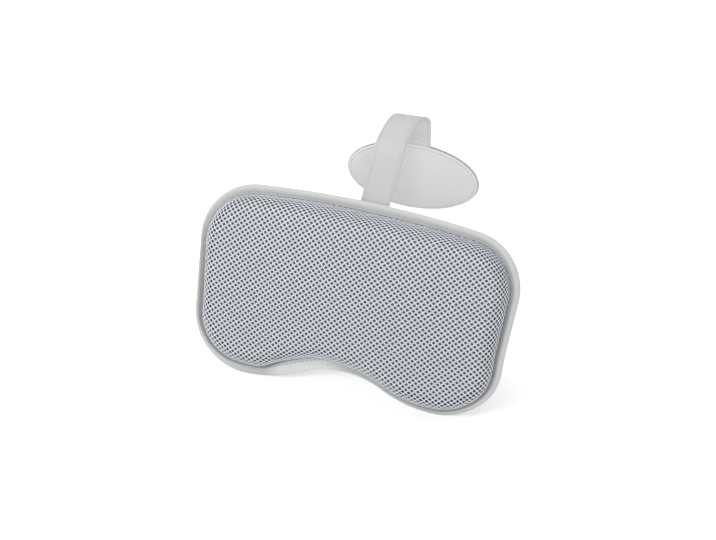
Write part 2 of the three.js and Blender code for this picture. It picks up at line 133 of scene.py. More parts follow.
class Bench:
    """The node tree of a material or a world, with one method that adds any node."""

    def __init__(self, owner: Material | bpy.types.World) -> None:
        """Starts an empty tree."""
        owner.use_nodes = True
        self.owner = owner
        self.tree = owner.node_tree
        self.tree.nodes.clear()

    def node(self, kind: str, sockets: dict | None = None, output: int = 0, **settings: object) -> Wire:
        """Adds a node.

        Args:
            kind: the node's type.
            sockets: values or wires for its inputs, by name or number.
            output: which of its outputs is wanted.
            settings: its own properties, set first.

        Returns:
            The wanted output, which is empty on a node that ends the tree.
        """
        made = self.tree.nodes.new(kind)
        for key, value in settings.items():
            setattr(made, key, value)
        for key, value in (sockets or {}).items():
            if isinstance(value, Wire):
                self.tree.links.new(value.socket, made.inputs[key])
            else:
                made.inputs[key].default_value = value
        return Wire(self, made.outputs[output] if made.outputs else None)

    def maths(self, operation: str, *values: Wire | float) -> Wire:
        """A Math node on values."""
        return self.node("ShaderNodeMath", dict(enumerate(values)), operation=operation)

    def mix(self, share: Wire | float, low: Wire | Colour, high: Wire | Colour) -> Wire:
        """A colour between two, each a wire or a screen colour, at a share of the way."""
        first, second = (end if isinstance(end, Wire) else linear(end) for end in (low, high))
        return self.node("ShaderNodeMix", {0: share, 6: first, 7: second}, 2, data_type="RGBA")

    def stored(self, layer: str) -> Wire:
        """The value that a layer of the mesh holds."""
        return self.node("ShaderNodeAttribute", output=2, attribute_name=layer)

    def ground(self, grain: "Grain") -> Wire:
        """The coordinates that threads are laid on: the piece's own in millimetres, or the frame's in metres."""
        return self.node("ShaderNodeTexCoord", output=2 if grain is Grain.ALONG_PIECE else 3)

    def axes(self, grain: "Grain") -> tuple[Wire, ...]:
        """Coordinates in millimetres along the cloth, across it and, where there is one, out of it."""
        source = self.ground(grain)
        if grain is not Grain.ALONG_PIECE:
            turn = (PAD_LEAN if grain is Grain.ON_PAD else 0.0, 0.0, 0.0)
            sockets = {"Vector": source, "Rotation": turn, "Scale": (1 / MM,) * 3}
            source = self.node("ShaderNodeMapping", sockets, vector_type="POINT")
        split = self.node("ShaderNodeSeparateXYZ", {0: source})
        return tuple(Wire(self, socket) for socket in split.socket.node.outputs)

    def speckle(self, grain: "Grain", size: float, detail: float = 2.0) -> Wire:
        """Noise from 0 to 1 with patches of about the given size."""
        unit = 1 if grain is Grain.ALONG_PIECE else MM
        sockets = {"Vector": self.ground(grain), "Scale": 1 / (size * unit), "Detail": detail}
        return self.node("ShaderNodeTexNoise", sockets)

    def relief(self, height: Wire, depth: float) -> Wire:
        """A surface direction from a height of the given depth in millimetres."""
        return self.node("ShaderNodeBump", {"Strength": 1.0, "Distance": depth * MM, "Height": height})

    def output(self, shader: Wire, kind: str = "ShaderNodeOutputMaterial") -> Material | bpy.types.World:
        """Ends the tree in a shader."""
        self.node(kind, {"Surface": shader})
        return self.owner


class Grain(Enum):
    """Where a cloth's threads take their direction from."""

    ALONG_PIECE = "uv"
    ON_PAD = "pad"
    UPRIGHT = "upright"


# Finishes


@dataclass(frozen=True)
class Finish:
    """A material: its name, its main colour and the colour of its shaded parts."""

    name: str
    colour: Colour
    shade: Colour

    def material(self) -> Material:
        """The finish as a material."""
        bench = Bench(bpy.data.materials.new(self.name))
        named = {key.replace("_", " "): value for key, value in self.surface(bench).items()}
        return bench.output(bench.node("ShaderNodeBsdfPrincipled", named))

    def surface(self, bench: Bench) -> Inputs:
        """Inputs of the Principled surface, with underscores for the spaces in their names."""
        raise NotImplementedError

    def lit(self, bench: Bench, share: Wire) -> Wire:
        """A colour from the shade, at 0, to the main colour, at 1."""
        return bench.mix(share, self.shade, self.colour)


@dataclass(frozen=True)
class PlainWeave(Finish):
    """A cloth of warp and weft that cross one over one, shaded in its gaps."""

    pitch: float
    grain: Grain
    relief: float = 0.12
    roughness: float = 0.8
    sheen: float = 0.15
    patch: float = 9.0
    patch_drop: int = 7

    def surface(self, bench: Bench) -> Inputs:
        """The cloth's crossings, with faint patches."""
        across, along, out = bench.axes(self.grain)
        side = along if self.grain is Grain.ALONG_PIECE else out
        crossing = across.wave(2 * self.pitch) * side.wave(2 * self.pitch)
        gap = 1 - crossing.maths("ABSOLUTE").maths("POWER", 0.5)
        dim = tuple(value - self.patch_drop for value in self.colour)
        worn = bench.mix(bench.speckle(self.grain, self.patch) * 0.5, self.colour, dim)
        return dict(
            Base_Color=self.with_painted_light(bench, bench.mix(gap * 0.45, worn, self.shade)),
            Roughness=gap * 0.1 + self.roughness,
            Normal=bench.relief(crossing, self.relief),
            Sheen_Weight=self.sheen,
            Sheen_Roughness=0.5,
        )

    def with_painted_light(self, bench: Bench, colour: Wire) -> Wire:
        """The cloth's colour with any painted light: none here, the same all over."""
        return colour


@dataclass(frozen=True)
class BoundTape(PlainWeave):
    """A woven tape folded over an edge, with painted shade under the cover's overhang and painted light where it lies
    open.
    """

    # Painted shade under the cover's overhang, and painted light where the tape lies open
    painted_shade: Colour = (104, 105, 108)
    painted_light_colour: Colour = (246, 246, 246)

    def with_painted_light(self, bench: Bench, colour: Wire) -> Wire:
        """The tape's colour with painted light, by the value its vertices hold: painted shade over 0 and painted
        light under 0.
        """
        painted_light = bench.stored(PAINTED_LIGHT)
        shaded_colour = bench.mix(painted_light.maths("MAXIMUM", 0.0), colour, self.painted_shade)
        return bench.mix((0 - painted_light).maths("MAXIMUM", 0.0), shaded_colour, self.painted_light_colour)


@dataclass(frozen=True)
class Webbing(Finish):
    """A close band with a herringbone of fine ribs."""

    name: str = "strap_webbing"
    colour: Colour = (210, 210, 210)
    shade: Colour = (197, 197, 198)
    rib: float = 0.9
    stripe: float = 3.0
    yarn: float = 0.5
    patch: float = 7.0

    def surface(self, bench: Bench) -> Inputs:
        """The band's ribs, which slant one way and the other in stripes."""
        across, along, _ = bench.axes(Grain.ALONG_PIECE)
        slant = (across / (2 * self.stripe)).off_line() * (2 * self.stripe)
        rib = (along + slant).wave(self.rib)
        patches = bench.speckle(Grain.ALONG_PIECE, self.patch)
        share = (0.5 - rib * 0.25) * 0.5 + patches * 0.2
        return dict(
            Base_Color=bench.mix(share, self.colour, self.shade),
            Roughness=patches * 0.15 + 0.62,
            Normal=bench.relief(rib * 0.7 + across.wave(self.yarn) * 0.3, 0.08),
            Sheen_Weight=0.1,
            Sheen_Roughness=0.5,
        )


@dataclass(frozen=True)
class NetYarn(Finish):
    """The pale knitted yarn of the air mesh, laid on the lattice of its holes."""

    name: str = "air_mesh_yarn"
    colour: Colour = (236, 240, 246)
    shade: Colour = (158, 164, 174)
    # Painted light: the paler yarn colour on the wall
    painted_wall_light: Colour = (243, 248, 254)
    patch: float = 14.0
    repeat_across: float = field(kw_only=True)
    repeat_up: float = field(kw_only=True)

    def surface(self, bench: Bench) -> Inputs:
        """The yarn's twist and plies, with painted shade toward a hole, and painted light on the wall, where the net
        is pulled open.
        """
        across, up, _ = bench.axes(Grain.ALONG_PIECE)
        rising = across / self.repeat_across + up / self.repeat_up
        falling = up / self.repeat_up - across / self.repeat_across
        off_rising, off_falling = rising.off_line(), falling.off_line()
        on_rising = off_rising < off_falling
        along = on_rising * falling + (1 - on_rising) * rising
        aside = off_rising.maths("MINIMUM", off_falling)
        twist = (along + aside * 0.6).wave(0.16)
        inward = (aside * 4.4).maths("MINIMUM", 1.0)
        patches = bench.speckle(Grain.ALONG_PIECE, self.patch)
        stretch = bench.stored(STRETCH)
        # Painted shade on the strands' flanks toward a hole, less of it on the wall, where the yarn is painted paler
        # as light
        share = inward * inward * (0.8 - stretch * 0.7) + (0.5 - twist * 0.5) * 0.1 + patches * 0.12
        pale = bench.mix(stretch, self.colour, self.painted_wall_light)
        return dict(
            Base_Color=bench.mix(share, pale, self.shade),
            Roughness=0.72 - twist * 0.08,
            Normal=bench.relief(twist * 0.6 + aside.wave(0.11) * 0.4, 0.12),
            Sheen_Weight=0.1,
            Sheen_Roughness=0.4,
        )


@dataclass(frozen=True)
class Knit(Finish):
    """The dark lining seen through the holes of the mesh."""

    name: str = "dark_lining"
    colour: Colour = (154, 158, 164)
    shade: Colour = (122, 126, 132)
    wall: Colour = (108, 112, 119)

    def surface(self, bench: Bench) -> Inputs:
        """The lining's wales and courses: darker down the wall, where little light comes in."""
        across, _, up = bench.axes(Grain.ON_PAD)
        wale = across.wave(1.1)
        course = (up + wale * 0.25).wave(0.9)
        patches = bench.speckle(Grain.ON_PAD, 3.0)
        crown = self.lit(bench, course * 0.3 + patches * 0.6 + 0.1)
        return dict(
            Base_Color=bench.mix(bench.stored(STRETCH) * 0.8, crown, self.wall),
            Roughness=0.95 - patches * 0.1,
            Normal=bench.relief(course * wale, 0.15),
        )


@dataclass(frozen=True)
class SewingThread(Finish):
    """A twisted polyester thread."""

    name: str = "sewing_thread"
    colour: Colour = (205, 206, 208)
    shade: Colour = (176, 178, 181)

    def surface(self, bench: Bench) -> Inputs:
        """The thread's twist."""
        across, deep, up = bench.axes(Grain.UPRIGHT)
        twist = (across + deep + up).wave(0.7)
        return dict(
            Base_Color=self.lit(bench, twist * 0.5 + 0.5),
            Roughness=0.55 - twist * 0.08,
            Normal=bench.relief(twist, 0.08),
            Sheen_Weight=0.15,
        )


@dataclass(frozen=True)
class Foam(Finish):
    """Open-cell foam."""

    name: str = "soft_foam"
    colour: Colour = (236, 232, 220)
    shade: Colour = (204, 198, 182)

    def surface(self, bench: Bench) -> Inputs:
        """The foam's cells."""
        cells = bench.speckle(Grain.UPRIGHT, 1.2, 4.0)
        return dict(
            Base_Color=self.lit(bench, cells),
            Roughness=0.9 + cells * 0.08,
            Normal=bench.relief(cells, 0.4),
        )


@dataclass(frozen=True)
class BrushedSteel(Finish):
    """Cold-rolled steel with a brushed face."""

    name: str = "weight_steel"
    colour: Colour = (148, 151, 154)
    shade: Colour = (120, 123, 127)
    streak: Place = (20.0, 400.0, 900.0)

    def surface(self, bench: Bench) -> Inputs:
        """The steel's long, fine streaks."""
        streaks = bench.node("ShaderNodeMapping", {"Vector": bench.ground(Grain.UPRIGHT), "Scale": self.streak})
        lines = bench.node("ShaderNodeTexNoise", {"Vector": streaks, "Scale": 4.0, "Detail": 3.0})
        return dict(
            Base_Color=self.lit(bench, lines),
            Metallic=1.0,
            Roughness=lines * 0.2 + 0.32,
            Normal=bench.relief(lines, 0.02),
        )


# Meshes


class Loft:
    """A skin made by extruding one closed ring of edges from place to place."""

    def __init__(self, ring: Array, run: Array) -> None:
        """Starts from a ring.

        Args:
            ring: its points.
            run: the length round the ring up to each point.
        """
        self.mesh = bmesh.new()
        self.cloth = self.mesh.verts.layers.float_vector.new(CLOTH)
        self.run, self.along = run, 0.0
        self.ring = list(bmesh.ops.create_circle(self.mesh, segments=len(ring), radius=1.0)["verts"])
        self.first = self.ring
        self._settle(ring)

    def _settle(self, ring: Array) -> None:
        """Puts the present ring in its place."""
        for vertex, place, run in zip(self.ring, ring, self.run):
            vertex.co = place
            vertex[self.cloth] = (run, self.along, 0.0)

    def _edges(self, ring: list[bmesh.types.BMVert]) -> list[bmesh.types.BMEdge]:
        """The edges of a ring."""
        return [self.mesh.edges.get((a, b)) for a, b in zip(ring, ring[1:] + ring[:1])]

    def _extrude(self) -> None:
        """Takes the present ring on to a new one."""
        made = bmesh.ops.extrude_edge_only(self.mesh, edges=self._edges(self.ring))
        fresh = {v for v in made["geom"] if isinstance(v, bmesh.types.BMVert)}
        self.ring = [next(o for e in v.link_edges if (o := e.other_vert(v)) in fresh) for v in self.ring]

    def draw(self, rings: Iterable[Array]) -> "Loft":
        """Takes the skin on through more rings."""
        for ring in rings:
            before = np.array([v.co for v in self.ring])
            self._extrude()
            self.along += float(np.median(np.linalg.norm(ring - before, axis=1)))
            self._settle(ring)
        return self

    def pole(self, place: Sequence[float]) -> "Loft":
        """Closes the present ring in a point."""
        self._extrude()
        bmesh.ops.pointmerge(self.mesh, verts=self.ring, merge_co=Vector(place))
        return self

    @classmethod
    def closed(cls, run: Array, rings: Sequence[Array], poles: Sequence[Sequence[float]]) -> Mesh:
        """A closed skin through rings, from one pole to another.

        Args:
            run: the length round a ring up to each of its points.
            rings: the rings in order.
            poles: the point before the first ring and the one after the last.

        Returns:
            The mesh.
        """
        loft = cls(rings[0], run).draw(rings[1:]).pole(poles[1])
        loft.ring = loft.first
        return loft.pole(poles[0]).mesh

    def back_to_start(self) -> "Loft":
        """Closes a tube by joining its last ring to its first."""
        bmesh.ops.bridge_loops(self.mesh, edges=self._edges(self.first) + self._edges(self.ring))
        return self


def lay_uv(mesh: Mesh, wrap: float = math.inf) -> None:
    """Copies the cloth coordinates of the vertices to a UV map.

    Args:
        mesh: the mesh, with cloth coordinates in millimetres.
        wrap: the length after which they start again, on a closed band.
    """
    cloth = mesh.verts.layers.float_vector.get(CLOTH)
    uv = mesh.loops.layers.uv.new("cloth_mm")
    for face in mesh.faces:
        places = [loop.vert[cloth] for loop in face.loops]
        far = max(p.x for p in places)
        for loop, place in zip(face.loops, places):
            across = place.x + wrap if far - place.x > wrap / 2 else place.x
            loop[uv].uv = (across, place.y)


def store(mesh: Mesh, layer: str, values: Iterable[float]) -> None:
    """Keeps a value at each vertex, for the materials."""
    kept = mesh.verts.layers.float.new(layer)
    for vertex, value in zip(mesh.verts, values):
        vertex[kept] = value


def face_up(mesh: Mesh) -> None:
    """Turns the faces of an open skin one way, on the whole up."""
    bmesh.ops.recalc_face_normals(mesh, faces=mesh.faces[:])
    if sum(f.normal.z for f in mesh.faces) < 0:
        bmesh.ops.reverse_faces(mesh, faces=mesh.faces[:])
    mesh.normal_update()


def eased(values: Array, reach: int, mode: str) -> Array:
    """Values smoothed by a moving average that reaches some steps to each side."""
    count = 2 * reach + 1
    return np.convolve(values, np.ones(count) / count, mode=mode)


@dataclass(frozen=True)
class Piece:
    """A piece of the object, and how it belongs to the frame."""

    name: str
    slot: str
    materials: Sequence[Material]
    replaces: Sequence[str]

    def finish(self, mesh: Mesh, setting: Matrix, body: str = "", recalculate: bool = True) -> bpy.types.Object:
        """Makes the object, in metres, in its place.

        Args:
            mesh: the mesh in millimetres, on the piece's own axes; it is used up.
            setting: where those axes lie in the frame.
            body: the body that it rides on, if it is tied to one now.
            recalculate: whether faces are turned outward again.

        Returns:
            The new object.
        """
        mesh.transform(setting)
        if recalculate:
            bmesh.ops.recalc_face_normals(mesh, faces=mesh.faces[:])
        data = bpy.data.meshes.new(self.name)
        mesh.to_mesh(data)
        mesh.free()
        data.shade_smooth()
        data.set_sharp_from_angle(angle=SHARP_ANGLE)
        piece = bpy.data.objects.new(self.name, data)
        bpy.context.scene.collection.objects.link(piece)
        for material in self.materials:
            data.materials.append(material)
        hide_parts(*self.replaces)
        if body:
            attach(piece, body)
        LOG.info("%s: %d faces", self.name, len(data.polygons))
        return piece


@dataclass(frozen=True)
class Seam:
    """A row of stitches."""

    thread: float = 0.8
    stitch: float = 3.1
    pitch: float = 4.2

    def sew(self, mesh: Mesh, line: Array, out: Array, closed: bool = False, slot: int = 0) -> None:
        """Lays stitches along a line of points.

        Args:
            mesh: the mesh that takes the stitches.
            line: points along the seam.
            out: the way out of the cloth at each point, or at all of them.
            closed: whether the line comes back to its start.
            slot: the stitches' material.
        """
        outs = np.broadcast_to(out, line.shape)
        if closed:
            line, outs = np.vstack([line, line[:1]]), np.vstack([outs, outs[:1]])
        run = np.concatenate([[0.0], np.cumsum(np.linalg.norm(np.diff(line, axis=0), axis=1))])
        count = max(1, round(run[-1] / self.pitch))
        reach = min(self.stitch, self.stitch * run[-1] / count / self.pitch) / 2
        for middle in (np.arange(count) + 0.5) * run[-1] / count:
            start, centre, end = (self._at(run, line, middle + step) for step in (-reach, 0.0, reach))
            along = end - start
            above = self._at(run, outs, middle)
            above -= along * (above @ along) / (along @ along)
            above *= self.thread * 0.4 / np.linalg.norm(above)
            aside = np.cross(along, above)
            aside *= self.thread * 0.5 / np.linalg.norm(aside)
            basis = Matrix(np.column_stack([aside, above, along / 2]).tolist()).to_4x4()
            basis.translation = Vector((start + end + centre * 2) / 4)
            made = bmesh.ops.create_uvsphere(mesh, u_segments=6, v_segments=5, radius=1.0, matrix=basis)
            for face in {f for v in made["verts"] for f in v.link_faces}:
                face.material_index = slot

    @staticmethod
    def _at(run: Array, values: Array, length: float) -> Array:
        """The value at a length along the seam."""
        return np.array([np.interp(length, run, values[:, k]) for k in range(values.shape[1])])


FINE_SEAM = Seam(thread=0.6, stitch=2.3, pitch=3.2)


# The pad


@dataclass(frozen=True)
class Edge:
    """A closed outline: its points, the way out of it at each, and the length run up to each."""

    points: Array
    outward: Array
    run: Array
    total: float

    @classmethod
    def through(cls, points: Array, outward: Array) -> "Edge":
        """An outline through points with known outward directions."""
        steps = np.linalg.norm(np.roll(points, -1, axis=0) - points, axis=1)
        run = np.concatenate([[0.0], np.cumsum(steps)[:-1]])
        return cls(points, outward, run, float(steps.sum()))

    def ring(self, inset: float | Array, height: float | Array) -> Array:
        """The outline moved inward and lifted, as points (across, up, out)."""
        flat = self.points - self.outward * np.reshape(inset, (-1, 1))
        return np.column_stack([flat, np.broadcast_to(height, len(flat))])

    def turns(self) -> Array:
        """The angle of each point, clockwise from the top, in degrees from -180 to 180."""
        return np.degrees(np.arctan2(self.points[:, 0], self.points[:, 1]))


@dataclass(frozen=True)
class PadOutline:
    """The pad's outline, square on: an arched top, round corners, two lobes and a hollow for the neck."""

    width: float = 330.0
    height: float = 194.0
    corner_radius: float = 57.0
    top_arch: float = 5.5
    lobe_radius: float = 61.0
    lobe_spacing: float = 196.0
    notch_depth: float = 22.0
    notch_radius: float = 98.0
    crown_rise: float = 97.0
    swell: float = 2.5
    swell_turn: float = 113.0
    swell_span: float = 9.0

    def edge(self, spacing: float) -> Edge:
        """The outline as points about the given spacing apart, clockwise from the middle of the top."""
        top, bottom = self.height - self.crown_rise, -self.crown_rise
        corner = np.array([self.width / 2 - self.corner_radius, top - self.top_arch - self.corner_radius])
        lobe = np.array([self.lobe_spacing / 2, bottom + self.lobe_radius])
        drop = top - corner[1]
        arch = (corner[0] ** 2 + drop**2 - self.corner_radius**2) / (2 * self.top_arch)
        arch_end = math.atan2(corner[1] - top + arch, corner[0])
        apart = corner - lobe
        lean = math.acos((self.lobe_radius - self.corner_radius) / np.linalg.norm(apart))
        side = math.atan2(apart[1], apart[0]) - lean
        swing = 2 * math.atan(self.notch_depth / lobe[0])
        shoulder = lobe[0] / math.sin(swing) - self.notch_radius
        up, down = math.pi / 2, -math.pi / 2
        notch_top = bottom + self.notch_depth
        right = [
            self._arc((0, top - arch), arch, up, arch_end, spacing),
            self._arc(corner, self.corner_radius, arch_end, side, spacing),
            self._straight(corner, lobe, side, spacing),
            self._arc(lobe, self.lobe_radius, side, down, spacing),
            self._arc((lobe[0], bottom + shoulder), shoulder, down, down - swing, spacing),
            self._arc((0, notch_top - self.notch_radius), self.notch_radius, up - swing, up, spacing, -1),
        ]
        half = np.vstack(right)
        foot = np.array([[0.0, notch_top, 0.0, -1.0]])
        mirrored = half[:0:-1] * np.array([-1, 1, -1, 1])
        whole = np.vstack([half, foot, mirrored])
        even = Edge.through(whole[:, :2], whole[:, 2:])
        swell = self.swell * np.exp(-(((even.turns() - self.swell_turn) / self.swell_span) ** 2))
        return Edge.through(even.points + even.outward * swell[:, None], even.outward)

    @staticmethod
    def _arc(
        centre: Sequence[float], radius: float, start: float, end: float, spacing: float, side: int = 1
    ) -> Array:
        """Points of an arc without its last one, each with its outward direction."""
        steps = max(2, math.ceil(radius * abs(end - start) / spacing))
        turn = start + (end - start) * np.arange(steps) / steps
        way = np.column_stack([np.cos(turn), np.sin(turn)])
        return np.hstack([np.asarray(centre) + radius * way, side * way])

    def _straight(self, corner: Array, lobe: Array, side: float, spacing: float) -> Array:
        """Points of the straight side between the corner and the lobe, without its last one."""
        way = np.array([math.cos(side), math.sin(side)])
        start, end = corner + self.corner_radius * way, lobe + self.lobe_radius * way
        steps = max(2, math.ceil(np.linalg.norm(end - start) / spacing))
        share = (np.arange(steps) / steps)[:, None]
        return np.hstack([start + (end - start) * share, np.tile(way, (steps, 1))])


@dataclass(frozen=True)
class PaddedFace:
    """A face that rises from its hem line in a rounded roll and runs over a crown."""

    edge: Edge
    rim: float
    roll: float
    base: float
    crown: Callable[[Array], Array]
    pull: float | Array = 0.0

    def rings(self, lowered: float, roll_steps: int, crown_steps: int) -> list[Array]:
        """Rings of the face from the innermost one out to the hem line.

        Args:
            lowered: how far the face is moved inward, as its underside or a layer below it.
            roll_steps: steps down the roll.
            crown_steps: steps from the pole to the top of the roll.

        Returns:
            One array of points (across, up, out) for each ring.
        """
        roll = self.roll - lowered
        top = self.edge.ring(self.rim + self.roll + self.pull, 0.0)[:, :2]
        made = []
        for step in range(1, crown_steps):
            flat = top * (step / crown_steps)
            made.append(np.column_stack([flat, self.base + self.crown(flat) - lowered]))
        for step in range(roll_steps + 1):
            turn = math.pi / 2 * step / roll_steps
            flat = top + self.edge.outward * (roll * math.sin(turn))
            rise = (self.crown(flat) - lowered) * math.cos(turn)
            made.append(np.column_stack([flat, self.base + rise]))
        return made

    def pole(self, lowered: float = 0.0) -> Place:
        """The middle of the face."""
        return 0.0, 0.0, self.base + float(self.crown(np.zeros((1, 2)))[0]) - lowered


class Wall(Enum):
    """What a mark of the pad's wall tells, by its place in the row after the turn."""

    PULL = 1
    BULGE = 2
    PAINTED_SHADE = 3


# Marks of the wall: degrees clockwise from the top, how far its foot is pulled in, its bulge, the painted shade on
# the tape under the overhang
WALL_MARKS = np.array([
    (0, 1.2, 0.6, 0), (50, 1.2, 0.6, 0.1), (72, 0.8, 0.8, 0.42), (90, 0.2, 1.4, 0.64), (102, 0.1, 3, 0.68),
    (115, 0.1, 4.8, 0.66), (125, 0.2, 5, 0.7), (135, 0.7, 4.4, 0.75), (146, 1.3, 4, 0.64), (154, 2.4, 3.8, 0.6),
    (174, 3.8, 3.6, 0.6), (186, 5.8, 3.4, 0.65), (194, 7.4, 3.2, 0.65), (203, 7.4, 3.2, 0.65),
    (211, 8.4, 3.2, 0.7), (215, 6.4, 3.4, 0.75), (219, 3.4, 3.8, 0.75), (226, 4.6, 3.6, 0.72),
    (240, 4.2, 3.6, 0.72), (258, 4, 3.4, 0.64), (277, 1.8, 3, 0.46), (292, 1.6, 2.4, 0.12),
    (310, 1, 1.8, 0), (330, 0.3, 1, 0), (345, 1, 0.8, 0),
])


@dataclass
class Pad:
    """The pad: mesh front, lining, foam, back panel, bound edge and the strap's seat on its back."""

    outline: PadOutline = field(default_factory=PadOutline)
    edge_step: float = 3.0
    fine_step: float = 0.25
    tape_step: float = 1.6
    rim: float = 9.0
    seat_gap: float = 0.3
    hem_low: float = 0.15
    hem_high: float = 1.65
    binding_low: float = 1.95
    binding_wall: float = 1.2
    crown_height: float = 50.0
    edge_height: float = 26.0
    crown_reach: tuple[float, float] = (150.0, 120.0)
    front_roll: float = 13.5
    wall_ease: float = 6.0
    bulge_wander: float = 0.4
    pull_wander: float = 0.25
    back_depth: float = 14.0
    back_roll: float = 30.0
    back_flat: float = 0.3
    back_swell: float = 4.5
    mesh_thickness: float = 5.0
    liner_thickness: float = 0.8
    back_thickness: float = 1.4
    net_cells: int = 112
    net_reach: tuple[float, float] = (215.0, 150.0)
    repeat_across: float = 6.05
    repeat_up: float = 5.55
    strand: float = 1.6
    strand_depth: float = 0.25
    ridge: float = 0.2
    knot: float = 0.12
    hole_edge: float = 0.45
    corner_off: float = 0.1
    knot_off: float = 0.4
    corner_scale: tuple[float, float] = (0.86, 0.2)
    side_scale: tuple[float, float] = (1.07, 0.23)
    stretch_lead: float = 4.0
    tape_fold: float = 4.6
    tape_nose: tuple[float, float] = (3.6, 3.45)
    tape_seam: float = 6.4
    tape_seam_height: float = 3.0
    pucker: float = 0.12
    pucker_span: float = 1.4
    pucker_over: float = 2.6
    # Where the tape's painted shade and painted light fall along its front
    shelter: float = 4.0
    shelter_sides: tuple[float, float] = (4.2, 1.5)
    painted_shade_span: float = 2.4
    light_share: float = 0.9
    light_span: float = 3.0
    open_from: float = 4.0
    open_span: float = 3.0
    patch_size: Place = (46.0, 42.0, 1.2)
    patch_low: float = 14.0
    patch_corner: float = 3.0
    patch_round: float = 0.45
    patch_thread: float = 1.4
    strap_thread: float = 2.25
    strap_low: float = 20.0
    strap_half: float = 15.0
    seam_centre: Place = (0.0, -122.537, -112.134)

    def __post_init__(self) -> None:
        """Works out the edge, the two faces and where the pad's axes lie."""
        self.edge = self.outline.edge(self.edge_step)
        self.fine_edge = self.outline.edge(self.fine_step)
        self.bulge, self.pull = self.wall_shape(self.fine_edge)
        self.lip_pull = self.wall_shape(self.edge)[1]
        self.front = PaddedFace(self.edge, self.rim, self.front_roll, self.hem_high, self.crown, self.lip_pull)
        self.back = PaddedFace(self.edge, self.rim, self.back_roll, self.hem_high, self.flat_back)
        up = Vector((0, math.sin(PAD_LEAN), math.cos(PAD_LEAN)))
        out = Vector((0, -math.cos(PAD_LEAN), math.sin(PAD_LEAN)))
        axes = Matrix([[1, 0, 0, 0], [0, up.y, out.y, 0], [0, up.z, out.z, 0], [0, 0, 0, 1]])
        self.setting = Matrix.Diagonal((MM, MM, MM, 1)) @ axes
        self.setting.translation = Vector(self.seam_centre) * MM
        self.finder = kdtree.KDTree(len(self.fine_edge.points))
        for index, (x, y) in enumerate(self.fine_edge.points):
            self.finder.insert((x, y, 0), index)
        self.finder.balance()

    def crown(self, flat: Array) -> Array:
        """How far the front stands over its hem, at points (across, up)."""
        away = np.minimum(1, np.hypot(flat[:, 0] / self.crown_reach[0], flat[:, 1] / self.crown_reach[1]))
        return self.edge_height + (self.crown_height - self.edge_height) * np.cos(math.pi / 2 * away)

    def flat_back(self, flat: Array) -> Array:
        """How far the back stands over its hem: the same everywhere."""
        return np.full(len(flat), self.back_depth)

    def wall_shape(self, edge: Edge) -> tuple[Array, Array]:
        """How the side wall stands along an outline: it sags to one side and is pulled in at the hollow.

        Args:
            edge: the outline.

        Returns:
            How far the wall bulges out at half its turn, and how far its foot lies inside the hem line.
        """
        wander = np.sin(edge.run / 19) * 0.5 + np.sin(edge.run / 43 + 2) * 0.5
        bulge, pull = self.along_wall(edge, Wall.BULGE), self.along_wall(edge, Wall.PULL)
        return bulge + self.bulge_wander * wander, np.maximum(0.0, pull + self.pull_wander * wander)

    def along_wall(self, edge: Edge, what: Wall) -> Array:
        """Values along an outline, eased between the wall's marks."""
        plain = np.interp(edge.turns(), WALL_MARKS[:, 0], WALL_MARKS[:, what.value], period=360)
        span = max(1, round(self.wall_ease * len(edge.run) / edge.total))
        return eased(np.concatenate([plain[-span:], plain, plain[:span]]), span, "valid")

    def edge_depth(self, flat: Array) -> tuple[Array, Array, Array]:
        """How deep points lie inside the outline, the way out to it, and which of its points is nearest."""
        nearest = np.array([self.finder.find((x, y, 0))[1] for x, y in flat])
        outward = self.fine_edge.outward[nearest]
        depth = np.einsum("ij,ij->i", self.fine_edge.points[nearest] - flat, outward)
        return depth, outward, nearest

    def drape(self, flat: Array) -> tuple[Array, Array]:
        """Lays the flat cut of the front over the crown, down the roll and out over the hem.

        Args:
            flat: points (across, up) of the flat cut.

        Returns:
            The points (across, up, out), and how far each lies past the hem line along the cloth.
        """
        depth, outward, nearest = self.edge_depth(flat)
        start = self.rim + self.front_roll + self.pull[nearest]
        past_roll = np.maximum(0.0, start - depth)
        foot = flat + outward * np.minimum(0.0, depth - start)[:, None]
        rise = self.crown(foot + outward * (0.7 * self.front_roll))
        turns = np.linspace(0, math.pi / 2, 65)
        bulge = self.bulge[nearest]
        spread = self.front_roll * np.sin(turns) + np.outer(bulge, np.sin(2 * turns))
        steps = np.hypot(np.diff(spread, axis=1), np.outer(rise, np.diff(np.cos(turns))))
        lengths = np.hstack([np.zeros((len(flat), 1)), np.cumsum(steps, axis=1)])
        below = np.clip((lengths <= past_roll[:, None]).sum(axis=1) - 1, 0, len(turns) - 2)
        rows = np.arange(len(flat))
        share = np.clip((past_roll - lengths[rows, below]) / steps[rows, below], 0, 1)
        turn = turns[below] + share * (turns[1] - turns[0])
        past_hem = past_roll - lengths[:, -1]
        hem = np.clip(past_hem, 0, self.rim + self.pull[nearest] - self.binding_wall - self.seat_gap)
        reach = self.front_roll * np.sin(turn) + bulge * np.sin(2 * turn)
        place = foot + outward * (reach + hem)[:, None]
        out = self.hem_high + self.crown(place) * np.cos(turn)
        return np.column_stack([place, out]), past_hem

    def build(self) -> None:
        """Makes every piece of the pad."""
        thread = SewingThread().material()
        weave = PlainWeave("back_cloth", (204, 206, 208), (170, 173, 176), 0.55, Grain.ON_PAD, relief=0.1)
        backing = weave.material()
        self.build_net()
        self.build_liner()
        self.build_foam()
        self.build_back(backing)
        self.build_binding(thread)
        self.build_strap_seat(backing, thread)

